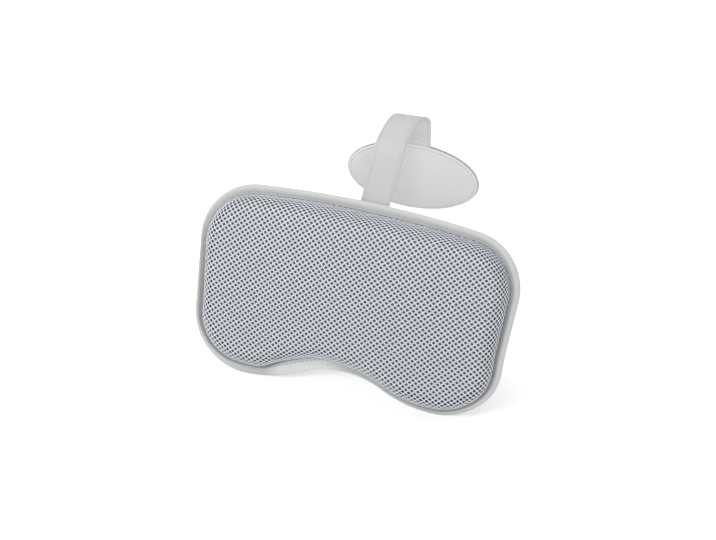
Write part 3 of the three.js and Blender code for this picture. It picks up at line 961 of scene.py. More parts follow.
    def build_net(self) -> None:
        """The open net of the air mesh, laid over the crown."""
        mesh = bmesh.new()
        cells = self.net_cells
        bmesh.ops.create_grid(mesh, x_segments=cells, y_segments=cells, size=cells / 2)
        across, up = self.repeat_across / 2, self.repeat_up / 2
        for vertex in mesh.verts:
            i, j = vertex.co.x, vertex.co.y
            vertex.co = (across * (i - j), up * (i + j), 0)
        middles = np.array([f.calc_center_median()[:2] for f in mesh.faces])
        inside = np.hypot(middles[:, 0] / self.net_reach[0], middles[:, 1] / self.net_reach[1]) < 1
        _, past = self.drape(middles)
        keep = inside & (past < self.rim - self.binding_wall)
        spare = [f for f, kept in zip(mesh.faces, keep) if not kept]
        bmesh.ops.delete(mesh, geom=spare, context="FACES")

        bmesh.ops.inset_individual(mesh, faces=mesh.faces[:], thickness=self.strand / 2, use_even_offset=True)
        _, offset = self.lattice(mesh)
        for vertex, on_hole in zip(mesh.verts, self.round_hole(offset)):
            vertex.tag = bool(on_hole)
        holes = [f for f in mesh.faces if all(v.tag for v in f.verts)]
        bmesh.ops.delete(mesh, geom=holes, context="FACES_ONLY")
        level = [e for e in mesh.edges if e.verts[0].tag == e.verts[1].tag]
        bmesh.ops.subdivide_edges(mesh, edges=level, cuts=1)

        lattice, offset = self.lattice(mesh)
        on_hole, slim = self.round_hole(offset), np.abs(offset).min(axis=1)
        corner = on_hole & (slim > self.corner_off)
        stretch = self.stretched(lattice @ np.array([[across, up], [-across, up]]))
        at_corner, at_side = (
            least + more * stretch for least, more in (self.corner_scale, self.side_scale)
        )
        factor = np.where(corner, at_corner, np.where(on_hole, at_side, 1.0))
        lattice += offset * (factor - 1)[:, None]
        flat = np.column_stack([(lattice[:, 0] - lattice[:, 1]) * across, (lattice[:, 0] + lattice[:, 1]) * up])
        places, _ = self.drape(flat)
        cloth = mesh.verts.layers.float_vector.new(CLOTH)
        for vertex, spread, place in zip(mesh.verts, flat, places):
            vertex.co = place
            vertex[cloth] = (*spread, 0)
        store(mesh, STRETCH, stretch)
        face_up(mesh)
        at_knot = ~on_hole & (slim > self.knot_off)
        lift = np.where(on_hole, -self.ridge, np.where(at_knot, self.knot, 0.0))
        for vertex, height in zip(mesh.verts, lift):
            vertex.co += vertex.normal * float(height)
        lay_uv(mesh)
        yarn = NetYarn(repeat_across=self.repeat_across, repeat_up=self.repeat_up).material()
        piece = Piece("air_mesh_cover", "air_mesh", [yarn], ["mesh_cover"])
        net = piece.finish(mesh, self.setting, recalculate=False)
        thick = net.modifiers.new("strand_depth", "SOLIDIFY")
        thick.thickness = self.strand_depth * MM
        thick.offset = -1
        graph = bpy.context.evaluated_depsgraph_get()
        solid = bpy.data.meshes.new_from_object(net.evaluated_get(graph))
        net.modifiers.clear()
        net.data = solid
        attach(net, "pad")

    def stretched(self, flat: Array) -> Array:
        """How much the net is pulled open at points of the flat cut: not on the crown, fully on the wall."""
        depth, _, nearest = self.edge_depth(flat)
        start = self.rim + self.front_roll + self.pull[nearest]
        return np.clip((start + self.stretch_lead - depth) / self.front_roll, 0, 1)

    def lattice(self, mesh: Mesh) -> tuple[Array, Array]:
        """Where vertices of the flat net lie, counted in holes along its two slants, and from a hole's middle."""
        flat = np.array([v.co[:2] for v in mesh.verts]) / (self.repeat_across, self.repeat_up)
        place = np.column_stack([flat[:, 1] + flat[:, 0], flat[:, 1] - flat[:, 0]])
        return place, place - np.floor(place) - 0.5

    def round_hole(self, offset: Array) -> Array:
        """Which vertices of the net lie on a hole's edge, by their offsets from its middle."""
        return np.abs(offset).max(axis=1) < self.hole_edge

    def build_liner(self) -> None:
        """The dark lining under the mesh, with its hem caught in the binding."""
        outer = self.mesh_thickness + self.seat_gap
        inner = outer + self.liner_thickness
        over, under = self.front.rings(outer, 10, 10), self.front.rings(inner, 10, 10)
        hem_out, hem_top = self.binding_wall + self.seat_gap, self.hem_low + self.liner_thickness
        feet = [
            self.edge.ring(self.rim + outer + self.lip_pull, hem_top),
            self.edge.ring(hem_out, hem_top),
            self.edge.ring(hem_out, self.hem_low),
            self.edge.ring(self.rim + inner + self.lip_pull, self.hem_low),
        ]
        poles = [self.front.pole(outer), self.front.pole(inner)]
        mesh = Loft.closed(self.edge.run, [*over, *feet, *reversed(under)], poles)
        store(mesh, STRETCH, self.stretched(np.array([v.co[:2] for v in mesh.verts])))
        piece = Piece("core_lining", "liner", [Knit().material()], ["core_liner"])
        lining = piece.finish(mesh, self.setting, "pad")

    def build_foam(self) -> None:
        """The foam between the lining and the back panel."""
        depth = self.mesh_thickness + self.liner_thickness + 2 * self.seat_gap
        behind = self.back_thickness + self.seat_gap
        over = self.front.rings(depth, 8, 6)
        under = [ring * BEHIND for ring in self.back.rings(behind, 8, 6)]
        inset = self.rim + depth + self.lip_pull
        waist = [self.edge.ring(inset, self.hem_low), self.edge.ring(self.rim + depth, -self.hem_low)]
        poles = [self.front.pole(depth), BEHIND * self.back.pole(behind)]
        mesh = Loft.closed(self.edge.run, [*over, *waist, *reversed(under)], poles)
        piece = Piece("foam_filling", "foam", [Foam().material()], ["foam_core"])
        piece.finish(mesh, self.setting, "pad")

    def build_back(self, backing: Material) -> None:
        """The back panel, a little slack between its hem and the flat middle that lies on the bath."""
        over, under = (self.back.rings(low, 12, 18) for low in (0.0, self.back_thickness))
        moves = self.settle_back(over)
        over, under = ([ring + move for ring, move in zip(rings, moves)] for rings in (over, under))
        hem_out = self.binding_wall + self.seat_gap
        feet = [
            self.edge.ring(hem_out, self.hem_high),
            self.edge.ring(hem_out, self.hem_low),
            self.edge.ring(self.rim + self.back_thickness, self.hem_low),
        ]
        rings = [ring * BEHIND for ring in [*over, *feet, *reversed(under)]]
        poles = [BEHIND * self.back.pole(low) for low in (0.0, self.back_thickness)]
        mesh = Loft.closed(self.edge.run, rings, poles)
        piece = Piece("back_cloth_panel", "backing", [backing], ["back_panel"])
        panel = piece.finish(mesh, self.setting, "pad")

    def settle_back(self, rings: list[Array]) -> list[Array]:
        """Lets the back panel swell as cloth, held at its hem, under the strap and in its flat middle.

        Args:
            rings: the panel's outer face, from its middle out.

        Returns:
            How far each point of each ring moves.
        """
        loft = Loft(rings[0], self.edge.run)
        rows = [loft.ring, *(loft.draw([ring]).ring for ring in rings[1:])]
        mesh = loft.mesh
        mesh.transform(Matrix.Scale(MM, 4))
        face_up(mesh)
        mesh.verts.index_update()
        order = np.array([[v.index for v in row] for row in rows])
        outs = np.array([[tuple(v.normal) for v in row] for row in rows])
        data = bpy.data.meshes.new("slack_panel")
        mesh.to_mesh(data)
        mesh.free()
        slack = bpy.data.objects.new("slack_panel", data)
        bpy.context.scene.collection.objects.link(slack)
        held = slack.vertex_groups.new(name="held")
        inner = round(len(rings) * self.back_flat)
        held.add([int(k) for k in [*order[:inner].ravel(), *order[-1]]], 1.0, "REPLACE")
        self.run_cloth(slack, held.name)
        graph = bpy.context.evaluated_depsgraph_get()
        settled = slack.evaluated_get(graph).to_mesh()
        places = np.array([tuple(v.co) for v in settled.vertices])[order] / MM
        slack.evaluated_get(graph).to_mesh_clear()
        bpy.data.objects.remove(slack)
        bpy.context.scene.frame_set(1)
        return self.capped(np.array(rings), places, outs)

    @staticmethod
    def run_cloth(slack: bpy.types.Object, held: str) -> None:
        """Steps a sheet through some frames of cloth under a little pressure from inside."""
        frames = 20
        cloth = slack.modifiers.new("swell", "CLOTH")
        cloth.collision_settings.use_collision = False
        cloth.point_cache.frame_start, cloth.point_cache.frame_end = 1, frames
        settings = cloth.settings
        settings.quality = 6
        settings.mass = 0.15
        settings.tension_stiffness = settings.compression_stiffness = 15
        settings.shear_stiffness = 8
        settings.bending_stiffness = 0.3
        settings.shrink_min = -0.05
        settings.use_pressure = True
        settings.uniform_pressure_force = 4
        settings.vertex_group_mass = held
        settings.effector_weights.gravity = 0
        for frame in range(1, frames + 1):
            bpy.context.scene.frame_set(frame)

    def capped(self, before: Array, after: Array, outs: Array) -> list[Array]:
        """The moves from one set of rings to another, kept short, mostly outward and clear of the strap."""
        sink, ease = 0.8, 16
        strap_side, strap_foot = 24, 12
        moves = after - before
        inward = np.minimum(0, np.einsum("ijk,ijk->ij", moves, outs) + sink)
        moves -= outs * inward[..., None]
        length = np.linalg.norm(moves, axis=2)
        moves *= np.minimum(1, self.back_swell / np.maximum(length, 1e-6))[..., None]
        beside = (np.abs(before[..., 0]) - strap_side) / ease
        below = (strap_foot - before[..., 1]) / ease
        free = np.clip(np.maximum(beside, below), 0, 1)
        free = free * free * (3 - 2 * free)
        LOG.info("back panel moves: %.1f mm at most", float(length.max()))
        return list(moves * free[..., None])

    def tape_section(self) -> list[tuple[float, float]]:
        """The folded tape's section, (outward, height), from its front lip round to its back lip and inside."""
        lip, wall = self.seat_gap - self.rim, -self.binding_wall
        reach, high = self.tape_nose
        front = [(lip, self.binding_low), (lip, 2.2), (lip + 0.25, 2.5), (lip + 0.8, 2.7), (-7.3, 2.85)]
        front += [(-6.8, 2.9), (-self.tape_seam, 2.85), (-6.0, 3.0), (-5.4, 3.3), (-self.tape_fold, high)]
        turns = math.pi / 2 - math.pi * np.arange(13) / 12
        nose = [(reach * (math.cos(turn) - 1), high * math.sin(turn)) for turn in turns]
        back = [(out, -height) for out, height in reversed(front)]
        return [*front, *nose, *back, (wall, -self.binding_low), (wall, self.binding_low)]

    def tape_inset(self, inset: float, pull: Array) -> Array:
        """An inset on the front of the tape, whose lip follows the foot of the wall."""
        return inset + pull * max(0.0, inset - self.tape_fold) / (self.rim - self.seat_gap - self.tape_fold)

    def build_binding(self, thread: Material) -> None:
        """The tape folded round the edge, and the seam that holds it on each side."""
        seam = Seam()
        edge = self.outline.edge(self.tape_step)
        ripple = np.sin(2 * math.pi * edge.run / (edge.total / round(edge.total / seam.pitch)))
        pull = self.wall_shape(edge)[1]
        rings, painted_lights = [], []
        for out, height in self.tape_section():
            near = math.exp(-(((out + self.tape_seam) / self.pucker_span) ** 2))
            rise = math.copysign(self.pucker * near, height) if abs(height) > self.pucker_over else 0.0
            inset = self.tape_inset(-out, pull) if height > 0 else np.full(len(pull), -out)
            rings.append(edge.ring(inset, height + rise * ripple))
            painted_lights.append(self.tape_painted_light(edge, pull, inset) if height > 0 else np.zeros(len(pull)))
        mesh = Loft(rings[0], edge.run).draw(rings[1:]).back_to_start().mesh
        # The tape's painted shade and painted light, kept at its vertices
        store(mesh, PAINTED_LIGHT, np.concatenate(painted_lights))
        lay_uv(mesh, edge.total)
        tape = BoundTape("binding_tape", (219, 219, 218), (192, 192, 192), 0.5, Grain.ALONG_PIECE).material()
        Piece("edge_tape", "binding", [tape], ["edge_binding"]).finish(mesh, self.setting, "pad")
        for name, side in SIDES:
            mesh = bmesh.new()
            inset = self.tape_inset(self.tape_seam, self.lip_pull) if side > 0 else self.tape_seam
            line = self.edge.ring(inset, side * self.tape_seam_height)
            seam.sew(mesh, line, np.array([0.0, 0.0, side]), closed=True)
            piece = Piece(f"binding_stitches_{name}", "thread", [thread], [f"binding_thread_{name}"])
            piece.finish(mesh, self.setting, "pad")

    def tape_painted_light(self, edge: Edge, pull: Array, inset: Array) -> Array:
        """The painted light along the tape's front: painted shade under the overhang, painted light where it lies
        open.

        Args:
            edge: the pad's outline.
            pull: how far the foot of the wall is pulled in.
            inset: how far inside the outline the tape is looked at.

        Returns:
            The painted light at each point of the outline: painted shade over 0, painted light under 0.
        """
        sideways = edge.outward[:, 0]
        # Painted shade falls past the part of the tape hidden under the overhang; painted light where the tape lies
        # open
        hidden = self.shelter - np.where(sideways < 0, *self.shelter_sides) * sideways
        past = self.rim - self.seat_gap + pull - inset - hidden
        painted_shade = self.along_wall(edge, Wall.PAINTED_SHADE) * np.clip(1 - past / self.painted_shade_span, 0, 1)
        lies_open = np.clip((pull - self.open_from) / self.open_span, 0, 1)
        return painted_shade - self.light_share * lies_open * np.clip(past / self.light_span, 0, 1)

    def build_strap_seat(self, backing: Material, thread: Material) -> None:
        """The patch behind the strap's sewn end, and its stitches."""
        width, height, depth = self.patch_size
        low, face = self.patch_low, self.hem_high + self.back_depth + self.seat_gap
        mesh = bmesh.new()
        place = Matrix.Translation((0, low + height / 2, -face - depth / 2))
        bmesh.ops.create_cube(mesh, size=1.0, matrix=place @ Matrix.Diagonal((*self.patch_size, 1)))
        bevel = {"profile": 0.5, "affect": "EDGES", "material": -1}
        upright = [e for e in mesh.edges if abs(e.verts[0].co.z - e.verts[1].co.z) > 1]
        bmesh.ops.bevel(mesh, geom=upright, offset=self.patch_corner, segments=5, **bevel)
        rims = [e for e in mesh.edges if e.calc_face_angle(0) > 1]
        bmesh.ops.bevel(mesh, geom=rims, offset=self.patch_round, segments=3, **bevel)
        piece = Piece("strap_patch_cloth", "backing", [backing], ["strap_patch"])
        patch = piece.finish(mesh, self.setting, "pad")

        inset, turn_in = 2.6, 0.5
        top, margin = low + height - inset, inset + turn_in
        half, foot = width / 2 - margin, low + margin
        runs = [[(-half, top), (-half, foot), (half, foot), (half, top)]]
        mesh = self.sew_back(runs, face + self.patch_thread)
        Piece("patch_stitches", "thread", [thread], ["patch_stitch"]).finish(mesh, self.setting, "pad")

        half, foot = self.strap_half - margin, self.strap_low + margin
        runs = [
            [(-half, top), (-half, foot), (half, foot), (half, top), (-half, top)],
            [(-half + 1, foot + 1), (half - 1, top - 1)],
            [(-half + 1, top - 1), (half - 1, foot + 1)],
        ]
        mesh = self.sew_back(runs, face + depth + self.seat_gap + self.strap_thread)
        Piece("strap_end_stitches", "thread", [thread], ["tail_box_stitch"]).finish(mesh, self.setting, "pad")

    @staticmethod
    def sew_back(runs: Iterable[Sequence[tuple[float, float]]], depth: float) -> Mesh:
        """Stitches along runs of straight lines between corners, on the back of the pad."""
        mesh, seam = bmesh.new(), Seam(stitch=2.6, pitch=3.4)
        for corners in runs:
            for start, end in zip(corners, corners[1:]):
                seam.sew(mesh, np.array([[*start, -depth], [*end, -depth]]), np.array([0.0, 0.0, -1.0]))
        return mesh


# The strap


@dataclass
class Strap:
    """The band from the back of the pad, over the rim and down to the pouch."""

    width: float = 30.0
    thickness: float = 2.0
    flat: float = 20.0
    front_radius: float = 22.0
    front_slope: float = math.radians(46)
    front_leg: float = 50.0
    back_radius: float = 60.0
    back_split: float = math.radians(45)
    back_slope: float = 11.5
    back_turn_radius: float = 15.0
    back_drop: float = 24.7
    tail: float = 72.0
    pouch_tail: float = 15.0
    easing: float = 5.0
    step: float = 0.25
    reach: tuple[float, float] = (-160.0, 130.0)
    row_step: float = 1.5
    stitch_step: float = 2.0
    twists: tuple[float, ...] = (0.0, 4.5, 6.5, 6.5, 5.0, 0.0)
    twist_ease: int = 20
    bows: tuple[float, ...] = (0.0, 0.6, 0.6, 1.7)
    leg_bow: float = 1.7
    leg_bow_at: float = -38.0
    leg_bow_span: float = 20.0
    nip: float = 0.16
    nip_span: float = 0.7
    edge_thinning: float = 0.92
    thread_sink: float = 0.08
    edge_seam: float = 12.4
    edge_round: float = 0.9
    row_half: float = 11.6
    rows_above_pouch: tuple[float, float] = (5.3, 11.3)
    columns: tuple[float, ...] = (15, 14.8, 14.4, 14, 13.4, 12.8, 12.4, 12, 11.2, 9, 6, 3)

    def __post_init__(self) -> None:
        """Works out the lengths along the band at which it bends, and its eased middle line."""
        half = self.flat / 2
        self.front_bend = half + self.front_radius * self.front_slope
        self.pad_fold = self.front_bend + self.front_leg
        self.back_fold = half + self.back_radius * self.back_split
        self.back_turn = self.back_fold + self.back_slope
        self.back_bend = self.back_turn + self.back_turn_radius * (math.pi / 2 - self.back_split)
        self.pouch_fold = self.back_bend + self.back_drop
        ease = round(self.easing / self.step)
        whole = np.arange(*self.reach, self.step)
        sharp = np.array([self.centre(length)[:2] for length in whole])
        self.path = np.column_stack([eased(sharp[:, k], ease, "valid") for k in (0, 1)])
        self.lengths = whole[ease:-ease]
        self.way = np.gradient(self.path, self.step, axis=0)
        self.way /= np.linalg.norm(self.way, axis=1)[:, None]
        stations = (-self.pad_fold, -self.front_bend, 0.0, self.back_fold, self.back_turn, self.pouch_fold - 6)
        twisted = np.interp(self.lengths, stations, np.radians(self.twists))
        self.twist = eased(twisted, self.twist_ease, "same")
        aside = np.interp(self.lengths, stations[: len(self.bows)], self.bows)
        off_bow = (self.lengths - self.leg_bow_at) / self.leg_bow_span
        self.bow = aside + self.leg_bow * np.exp(-(off_bow**2))

    def centre(self, length: float) -> Place:
        """The middle line's (y, z) and slope at a length from the middle of the flat; back is positive."""
        half, straight = self.flat / 2, math.inf
        if length > 0:
            stops = [(half, straight), (self.back_fold, self.back_radius), (self.back_turn, straight)]
            stops += [(self.back_bend, self.back_turn_radius), (math.inf, straight)]
        else:
            stops = [(half, straight), (self.front_bend, self.front_radius), (self.pad_fold, straight)]
        place, done = (0.0, self.thickness / 2, 0.0), 0.0
        for stop, radius in stops:
            reached = min(abs(length), stop)
            place = self.run_on(place, math.copysign(reached - done, length), radius)
            done = reached
        if length < -self.pad_fold:
            place = self.run_on((*place[:2], math.pi / 2 - PAD_LEAN), length + self.pad_fold)
        return place

    @staticmethod
    def run_on(start: Place, length: float, radius: float = math.inf) -> Place:
        """On from a point of the line: straight, or round a bend that turns down toward the back."""
        y, z, slope = start
        turned = slope - length / radius
        if turned == slope:
            return y + length * math.cos(slope), z + length * math.sin(slope), slope
        y += radius * (math.sin(slope) - math.sin(turned))
        return y, z + radius * (math.cos(turned) - math.cos(slope)), turned

    def point(self, length: float) -> Place:
        """A point of the middle line in the frame, in metres."""
        return tuple(self.lifted(0.0, length, 0.0) * MM)

    def build(self) -> None:
        """Makes the band as four stretches, each of which bends over one fold."""
        # Painted light: the band's underside takes a paler copy of the webbing, for the shade inside the loop
        lit_underside = Webbing("strap_underside_painted_light", (238, 238, 238), (228, 228, 229))
        dress = [Webbing().material(), bpy.data.materials["sewing_thread"], lit_underside.material()]
        mid_front = -(self.front_bend + self.pad_fold) / 2
        mid_saddle, mid_back = 12.0, self.back_bend + 4
        end = self.pouch_fold + self.pouch_tail
        stretches = [
            ("strap_pad_end", -self.pad_fold - self.tail, mid_front, ["strap_pad_tail"]),
            ("strap_front", mid_front, mid_saddle, ["strap_front_leg"]),
            ("strap_over_rim", mid_saddle, mid_back, ["strap_saddle"]),
            ("strap_drop", mid_back, end, ["strap_back_leg", "strap_pouch_tail"]),
        ]
        folds = [
            ("pad", "front_leg", -self.pad_fold, 13.0),
            ("front_leg", "saddle", -self.front_bend, 12.0),
            ("saddle", "back_leg", self.back_fold, 13.0),
            ("back_leg", "weight", self.pouch_fold, 3.2),
        ]
        for (name, start, stop, nodes), (first, second, fold, reach) in zip(stretches, folds):
            mesh = self.stretch(start, stop)
            piece = Piece(name, "strap", dress, nodes).finish(mesh, Matrix.Diagonal((MM, MM, MM, 1)))
            self.point(fold - reach)
            self.point(fold + reach)
            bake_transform(piece)

    def half_thickness(self, across: float) -> float:
        """Half the band's thickness at a place across it: full, nipped at the edge seams, with round edges."""
        side = abs(across)
        nip = self.nip * math.exp(-(((side - self.edge_seam) / self.nip_span) ** 2))
        edge = np.clip((side - (self.width / 2 - self.edge_round)) / self.edge_round, 0, 1)
        return (self.thickness / 2 - nip) * math.sqrt(1 - self.edge_thinning * edge**2)

    def stretch(self, start: float, stop: float) -> Mesh:
        """One stretch of the band between two lengths, with its edge seams."""
        mesh = bmesh.new()
        cloth = mesh.verts.layers.float_vector.new(CLOTH)
        steps = math.ceil((stop - start) / self.row_step)
        columns = [*(-column for column in self.columns), 0, *reversed(self.columns)]
        last = len(columns) - 1
        bmesh.ops.create_grid(mesh, x_segments=last, y_segments=steps, size=0.5)
        for vertex in mesh.verts:
            across = columns[round((vertex.co.x + 0.5) * last)]
            along = start + (vertex.co.y + 0.5) * (stop - start)
            vertex.co = (across, along, 1)
            vertex[cloth] = (across, along, 0)
        made = bmesh.ops.extrude_face_region(mesh, geom=mesh.faces[:])
        for vertex in (v for v in made["geom"] if isinstance(v, bmesh.types.BMVert)):
            vertex.co.z = -1
        for face in mesh.faces:
            # Faces on the underside take the paler webbing, painted light
            face.material_index = 2 if all(v.co.z < 0 for v in face.verts) else 0
        for vertex in mesh.verts:
            across, along, side = vertex.co
            vertex.co = self.lifted(across, along, side * self.half_thickness(across))
        lay_uv(mesh)
        lengths = np.linspace(start, stop, max(2, math.ceil((stop - start) / self.stitch_step)))
        lines = [[(across, length) for length in lengths] for across in (-self.edge_seam, self.edge_seam)]
        rows = [self.pouch_fold - above for above in self.rows_above_pouch]
        half = self.row_half
        lines += [[(-half, row), (0.0, row), (half, row)] for row in rows if start < row < stop]
        for places in lines:
            for side in (-1, 1):
                self.sew_line(mesh, places, side)
        return mesh

    def sew_line(self, mesh: Mesh, places: list[tuple[float, float]], side: int) -> None:
        """Sews a line given by places (across, along) on one face of the band."""
        level = side * (self.thickness / 2 - self.thread_sink)
        line, above = (
            np.array([self.lifted(across, along, height) for across, along in places])
            for height in (level, level + side)
        )
        FINE_SEAM.sew(mesh, line, above - line, slot=1)

    def lifted(self, across: float, along: float, height: float) -> Vector:
        """A point of the band at a height over its middle line."""
        rows = (*self.path.T, *self.way.T, self.twist, self.bow)
        y, z, way_y, way_z, twist, bow = (np.interp(along, self.lengths, row) for row in rows)
        return Vector((across + bow, y + across * twist - height * way_z, z + height * way_y))


# The pouch


@dataclass
class Pouch:
    """The weighted oval pouch at the far end of the strap; it hangs a little askew on it."""

    width: float = 136.4
    height: float = 80.6
    hem: float = 5.0
    hem_start: float = 2.0
    dome_end: float = 2.4
    hem_swell: float = 0.8
    bulge: float = 4.4
    panel: float = 1.2
    hem_low: float = 1.3
    mouth: tuple[float, float] = (-8.5, 24.0)
    askew: float = math.radians(6.2)
    centre: Place = (-1.8, 64.95, -102.5)
    plate: tuple[float, float] = (103.6, 47.0)
    plate_aside: Place = (3.5, 0.0, -1.0)
    cushion: tuple[float, float] = (2.3, 4.45)
    cushion_edge: tuple[tuple[float, float], ...] = ((8, 0.75), (4, 0.55), (1, 0.35), (0.2, 0.2), (0, 0.1))

    def __post_init__(self) -> None:
        """Works out the edge and where the pouch's axes lie."""
        self.edge = self.oval(self.width, self.height, 160)
        self.base = self.hem_low + self.panel
        upright = Matrix([[MM, 0, 0, 0], [0, 0, -MM, 0], [0, MM, 0, 0], [0, 0, 0, 1]])
        self.setting = Matrix.Translation(Vector(self.centre) * MM) @ upright @ Matrix.Rotation(self.askew, 4, "Z")

    @staticmethod
    def oval(width: float, height: float, steps: int) -> Edge:
        """An oval outline, clockwise from its top."""
        turn = math.pi / 2 - 2 * math.pi * np.arange(steps) / steps
        points = np.column_stack([width / 2 * np.cos(turn), height / 2 * np.sin(turn)])
        outward = np.column_stack([height * np.cos(turn), width * np.sin(turn)])
        return Edge.through(points, outward / np.linalg.norm(outward, axis=1)[:, None])

    def rise(self, depth: float) -> float:
        """How far a panel stands over its edge at a depth inside it, within the hem."""
        share = (depth - self.hem_start) / (self.hem - self.hem_start)
        return self.hem_swell * min(1.0, max(0.0, share))

    def panel_rings(self, floor: float, inset: float) -> list[Array]:
        """Rings of one side of a panel, which is a shallow dome, from its middle out to an inset from the edge.

        Args:
            floor: the height of that side at the edge.
            inset: where the rings end.

        Returns:
            One array of points (across, up, out) for each ring.
        """
        foot = self.edge.ring(self.hem, 0.0)
        rings = []
        for share in np.linspace(0.08, 1, 14):
            swell = self.hem_swell + (self.bulge - self.hem_swell) * (1 - share**2)
            rings.append(foot * share + (0, 0, floor + swell))
        for depth in np.linspace(self.hem, inset, 5)[1:]:
            rings.append(self.edge.ring(depth, floor + self.rise(depth)))
        return rings

    def build(self, frame: dict) -> None:
        """Makes every piece of the pouch, and dresses the plate in it."""
        weave = {"pitch": 0.5, "grain": Grain.UPRIGHT, "relief": 0.08}
        # Painted light: the pouch cloth is paler than the strap's webbing, for the shade the pouch hangs in
        cloth = PlainWeave("pouch_cloth", (245, 245, 245), (230, 230, 231), **weave).material()
        for name, side in SIDES:
            self.build_panel(name, side, cloth)
            self.build_seam(name, side, bpy.data.materials["sewing_thread"])
            self.build_cushion(name, side, bpy.data.materials["soft_foam"])
        self.build_welt(PlainWeave("pouch_edging", (184, 184, 185), (164, 164, 165), **weave).material())
        frame["nodes"]["weight_plate"].data.materials[0] = BrushedSteel().material()

    def build_panel(self, name: str, side: int, cloth: Material) -> None:
        """One of the two panels."""
        over, under = (self.panel_rings(floor, self.dome_end) for floor in (self.base, self.hem_low))
        lip = [(1.2, 0.0), (0.5, -0.12), (0.12, -0.4), (0.0, -0.8), (0.0, -self.panel)]
        edge = [self.edge.ring(inset, self.base + drop) for inset, drop in lip]
        rings = [ring * (1, 1, side) for ring in [*over, *edge, *reversed(under)]]
        poles = [(0.0, 0.0, side * (floor + self.bulge)) for floor in (self.base, self.hem_low)]
        mesh = Loft.closed(self.edge.run, rings, poles)
        piece = Piece(f"pouch_{name}_cloth", "pouch", [cloth], [f"pouch_{name}"])
        panel = piece.finish(mesh, self.setting, "weight")

    def build_seam(self, name: str, side: int, thread: Material) -> None:
        """The stitches round one panel."""
        mesh = bmesh.new()
        depth = self.hem / 2
        line = self.edge.ring(depth, side * (self.base + self.rise(depth) + 0.02))
        FINE_SEAM.sew(mesh, line, np.array([0.0, 0.0, side]), closed=True)
        piece = Piece(f"pouch_stitches_{name}", "thread", [thread], [f"pouch_thread_{name}"])
        piece.finish(mesh, self.setting, "weight")

    def build_cushion(self, name: str, side: int, foam: Material) -> None:
        """The soft layer on one side of the plate."""
        edge = self.oval(*self.plate, 72)
        low, high = self.cushion
        rings = [edge.ring(0.0, high) * (share, share, 1) for share in (0.3, 0.6)]
        rings += [edge.ring(inset, low + (high - low) * lift) for inset, lift in self.cushion_edge]
        rings += [edge.ring(0.3, low) * (share, share, 1) for share in (1.0, 0.7, 0.35)]
        poles = [(0.0, 0.0, side * high), (0.0, 0.0, side * low)]
        mesh = Loft.closed(edge.run, [ring * (1, 1, side) for ring in rings], poles)
        setting = self.setting @ Matrix.Rotation(-self.askew, 4, "Z")
        setting.translation = (Vector(self.centre) + Vector(self.plate_aside)) * MM
        piece = Piece(f"weight_cushion_{name}", "foam", [foam], [f"weight_pad_{name}"])
        piece.finish(mesh, setting, "weight")

    def build_welt(self, cloth: Material) -> None:
        """The strip between the panels' hems, open where the strap comes in."""
        steps = 360
        edge = self.oval(self.width, self.height, steps)
        across, up = edge.points.T
        off_mouth = (across < self.mouth[0]) | (across > self.mouth[1]) | (up < 0)
        first = int(np.argmax(across > self.mouth[1]))
        section = [(-5.6, -0.95), (-5.6, 0.95), (-2.0, 1.0), (0.0, 0.98)]
        section += [(0.9 * math.cos(turn), 0.98 * math.sin(turn)) for turn in np.linspace(1.2, -1.2, 7)]
        section += [(0.0, -0.98), (-2.0, -1.0)]
        stations = [
            np.array([[*(edge.points[k] + edge.outward[k] * out), height] for out, height in section])
            for k in np.roll(np.arange(steps), -first)
            if off_mouth[k]
        ]
        poles = [stations[end].mean(axis=0) for end in (0, -1)]
        mesh = Loft.closed(np.arange(len(section), dtype=float), stations, poles)
        piece = Piece("pouch_edge_strip", "pouch", [cloth], ["pouch_welt"])
        piece.finish(mesh, self.setting, "weight")


# The stage


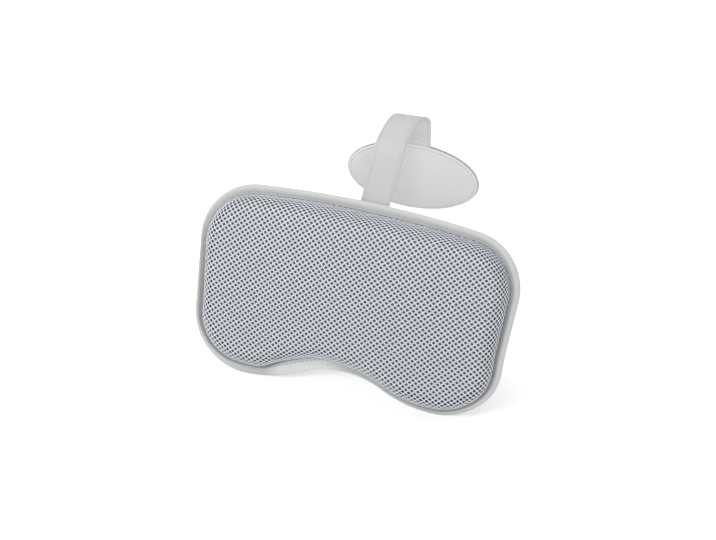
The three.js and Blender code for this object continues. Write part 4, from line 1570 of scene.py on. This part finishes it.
@dataclass(frozen=True)
class Studio:
    """Camera, floor and soft light."""

    frame: tuple[int, int] = (716, 540)
    azimuth: float = math.radians(18.7)
    elevation: float = math.radians(40)
    scale: float = 1.0137
    origin_at: tuple[float, float] = (394.4, 134.917)
    middle: Place = (0, -0.09, -0.1)
    distance: float = 12.0
    sensor: float = 36.0
    floor_level: float = -0.19665
    floor_half: float = 12.0
    floor_colour: tuple[float, ...] = (0.9, 0.9, 0.9, 1)
    floor_glow: float = 0.42
    room_light: float = 0.57
    lamps_face: Place = (0, -0.08, -0.1)

    def build(self) -> None:
        """Sets the stage."""
        self.build_camera()
        self.build_light(self.build_floor())
        bpy.context.scene.view_settings.view_transform = "Standard"

    def build_camera(self) -> None:
        """A long lens that looks down on the pad from its right."""
        a, e = self.azimuth, self.elevation
        right = Vector((math.cos(a), math.sin(a), 0))
        up = Vector((-math.sin(a) * math.sin(e), math.cos(a) * math.sin(e), math.cos(e)))
        back = right.cross(up)
        aside = (self.frame[0] / 2 - self.origin_at[0]) / self.scale * MM
        above = (self.origin_at[1] - self.frame[1] / 2) / self.scale * MM
        target = right * aside + up * above + back * Vector(self.middle).dot(back)
        data = bpy.data.cameras.new("camera")
        data.sensor_width = self.sensor
        data.lens = self.sensor * self.scale / MM * self.distance / self.frame[0]
        data.clip_end = 50
        camera = bpy.data.objects.new("camera", data)
        camera.rotation_euler = Matrix((right, up, back)).transposed().to_euler()
        camera.location = target + back * self.distance
        bpy.context.scene.collection.objects.link(camera)
        bpy.context.scene.camera = camera

    def build_floor(self) -> bpy.types.Object:
        """A wide pale floor that shows white to the camera where nothing shades it."""
        bench = Bench(bpy.data.materials.new("pale_floor"))
        paths = bench.node("ShaderNodeLightPath").socket.node.outputs
        rays = [Wire(bench, paths[f"Is {kind} Ray"]) for kind in ("Camera", "Glossy", "Transmission")]
        seen = rays[0].maths("MAXIMUM", rays[1]).maths("MAXIMUM", rays[2])
        plain = bench.node("ShaderNodeBsdfDiffuse", {"Color": self.floor_colour})
        glow = bench.node("ShaderNodeEmission", {"Strength": self.floor_glow})
        shown = bench.node("ShaderNodeAddShader", {0: plain, 1: glow})
        material = bench.output(bench.node("ShaderNodeMixShader", {0: seen, 1: plain, 2: shown}))
        mesh = bmesh.new()
        bmesh.ops.create_grid(mesh, x_segments=1, y_segments=1, size=self.floor_half)
        data = bpy.data.meshes.new("floor")
        mesh.to_mesh(data)
        mesh.free()
        data.materials.append(material)
        floor = bpy.data.objects.new("floor", data)
        floor.location.z = self.floor_level
        bpy.context.scene.collection.objects.link(floor)
        return floor

    def build_light(self, floor: bpy.types.Object) -> None:
        """An even white room, with wide lamps high on the left, at the camera and overhead, and one for the floor."""
        bench = Bench(bpy.data.worlds.new("white_room"))
        lit, shown = (
            bench.node("ShaderNodeBackground", {"Color": (1, 1, 1, 1), "Strength": strength})
            for strength in (self.room_light, 1.0)
        )
        seen = bench.node("ShaderNodeLightPath")
        room = bench.node("ShaderNodeMixShader", {0: seen, 1: lit, 2: shown})
        bpy.context.scene.world = bench.output(room, "ShaderNodeOutputWorld")
        self.hang_lamp("left_lamp", (-1.6, 0.1, 1.7), 1.2, 17)
        front = self.hang_lamp("front_lamp", (0.737, -2.177, 1.929), 1.4, 30)
        self.hang_lamp("top_lamp", (0.1, 0.4, 2.4), 2.0, 9)
        low = self.hang_lamp("floor_lamp", (-1.2, -2.0, 1.7), 1.0, 30)
        for lamp, state in ((front, "EXCLUDE"), (low, "INCLUDE")):
            chosen = bpy.data.collections.new(f"{lamp.name}_lit")
            chosen.objects.link(floor)
            chosen.collection_objects[0].light_linking.link_state = state
            lamp.light_linking.receiver_collection = chosen

    def hang_lamp(self, name: str, place: Sequence[float], size: float, power: float) -> bpy.types.Object:
        """Hangs a round soft lamp that faces the pad."""
        lamp = bpy.data.lights.new(name, "AREA")
        lamp.shape, lamp.size, lamp.energy = "DISK", size, power
        holder = bpy.data.objects.new(name, lamp)
        holder.location = place
        aim = Vector(self.lamps_face) - holder.location
        holder.rotation_euler = aim.to_track_quat("-Z", "Y").to_euler()
        holder.visible_camera = False
        bpy.context.scene.collection.objects.link(holder)
        return holder


def main() -> None:
    """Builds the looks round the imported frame."""
    logging.basicConfig(level=logging.INFO, format="%(name)s %(message)s")
    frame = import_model()
    Studio().build()
    Pad().build()
    Strap().build()
    Pouch().build(frame)


if __name__ == "__main__":
    main()
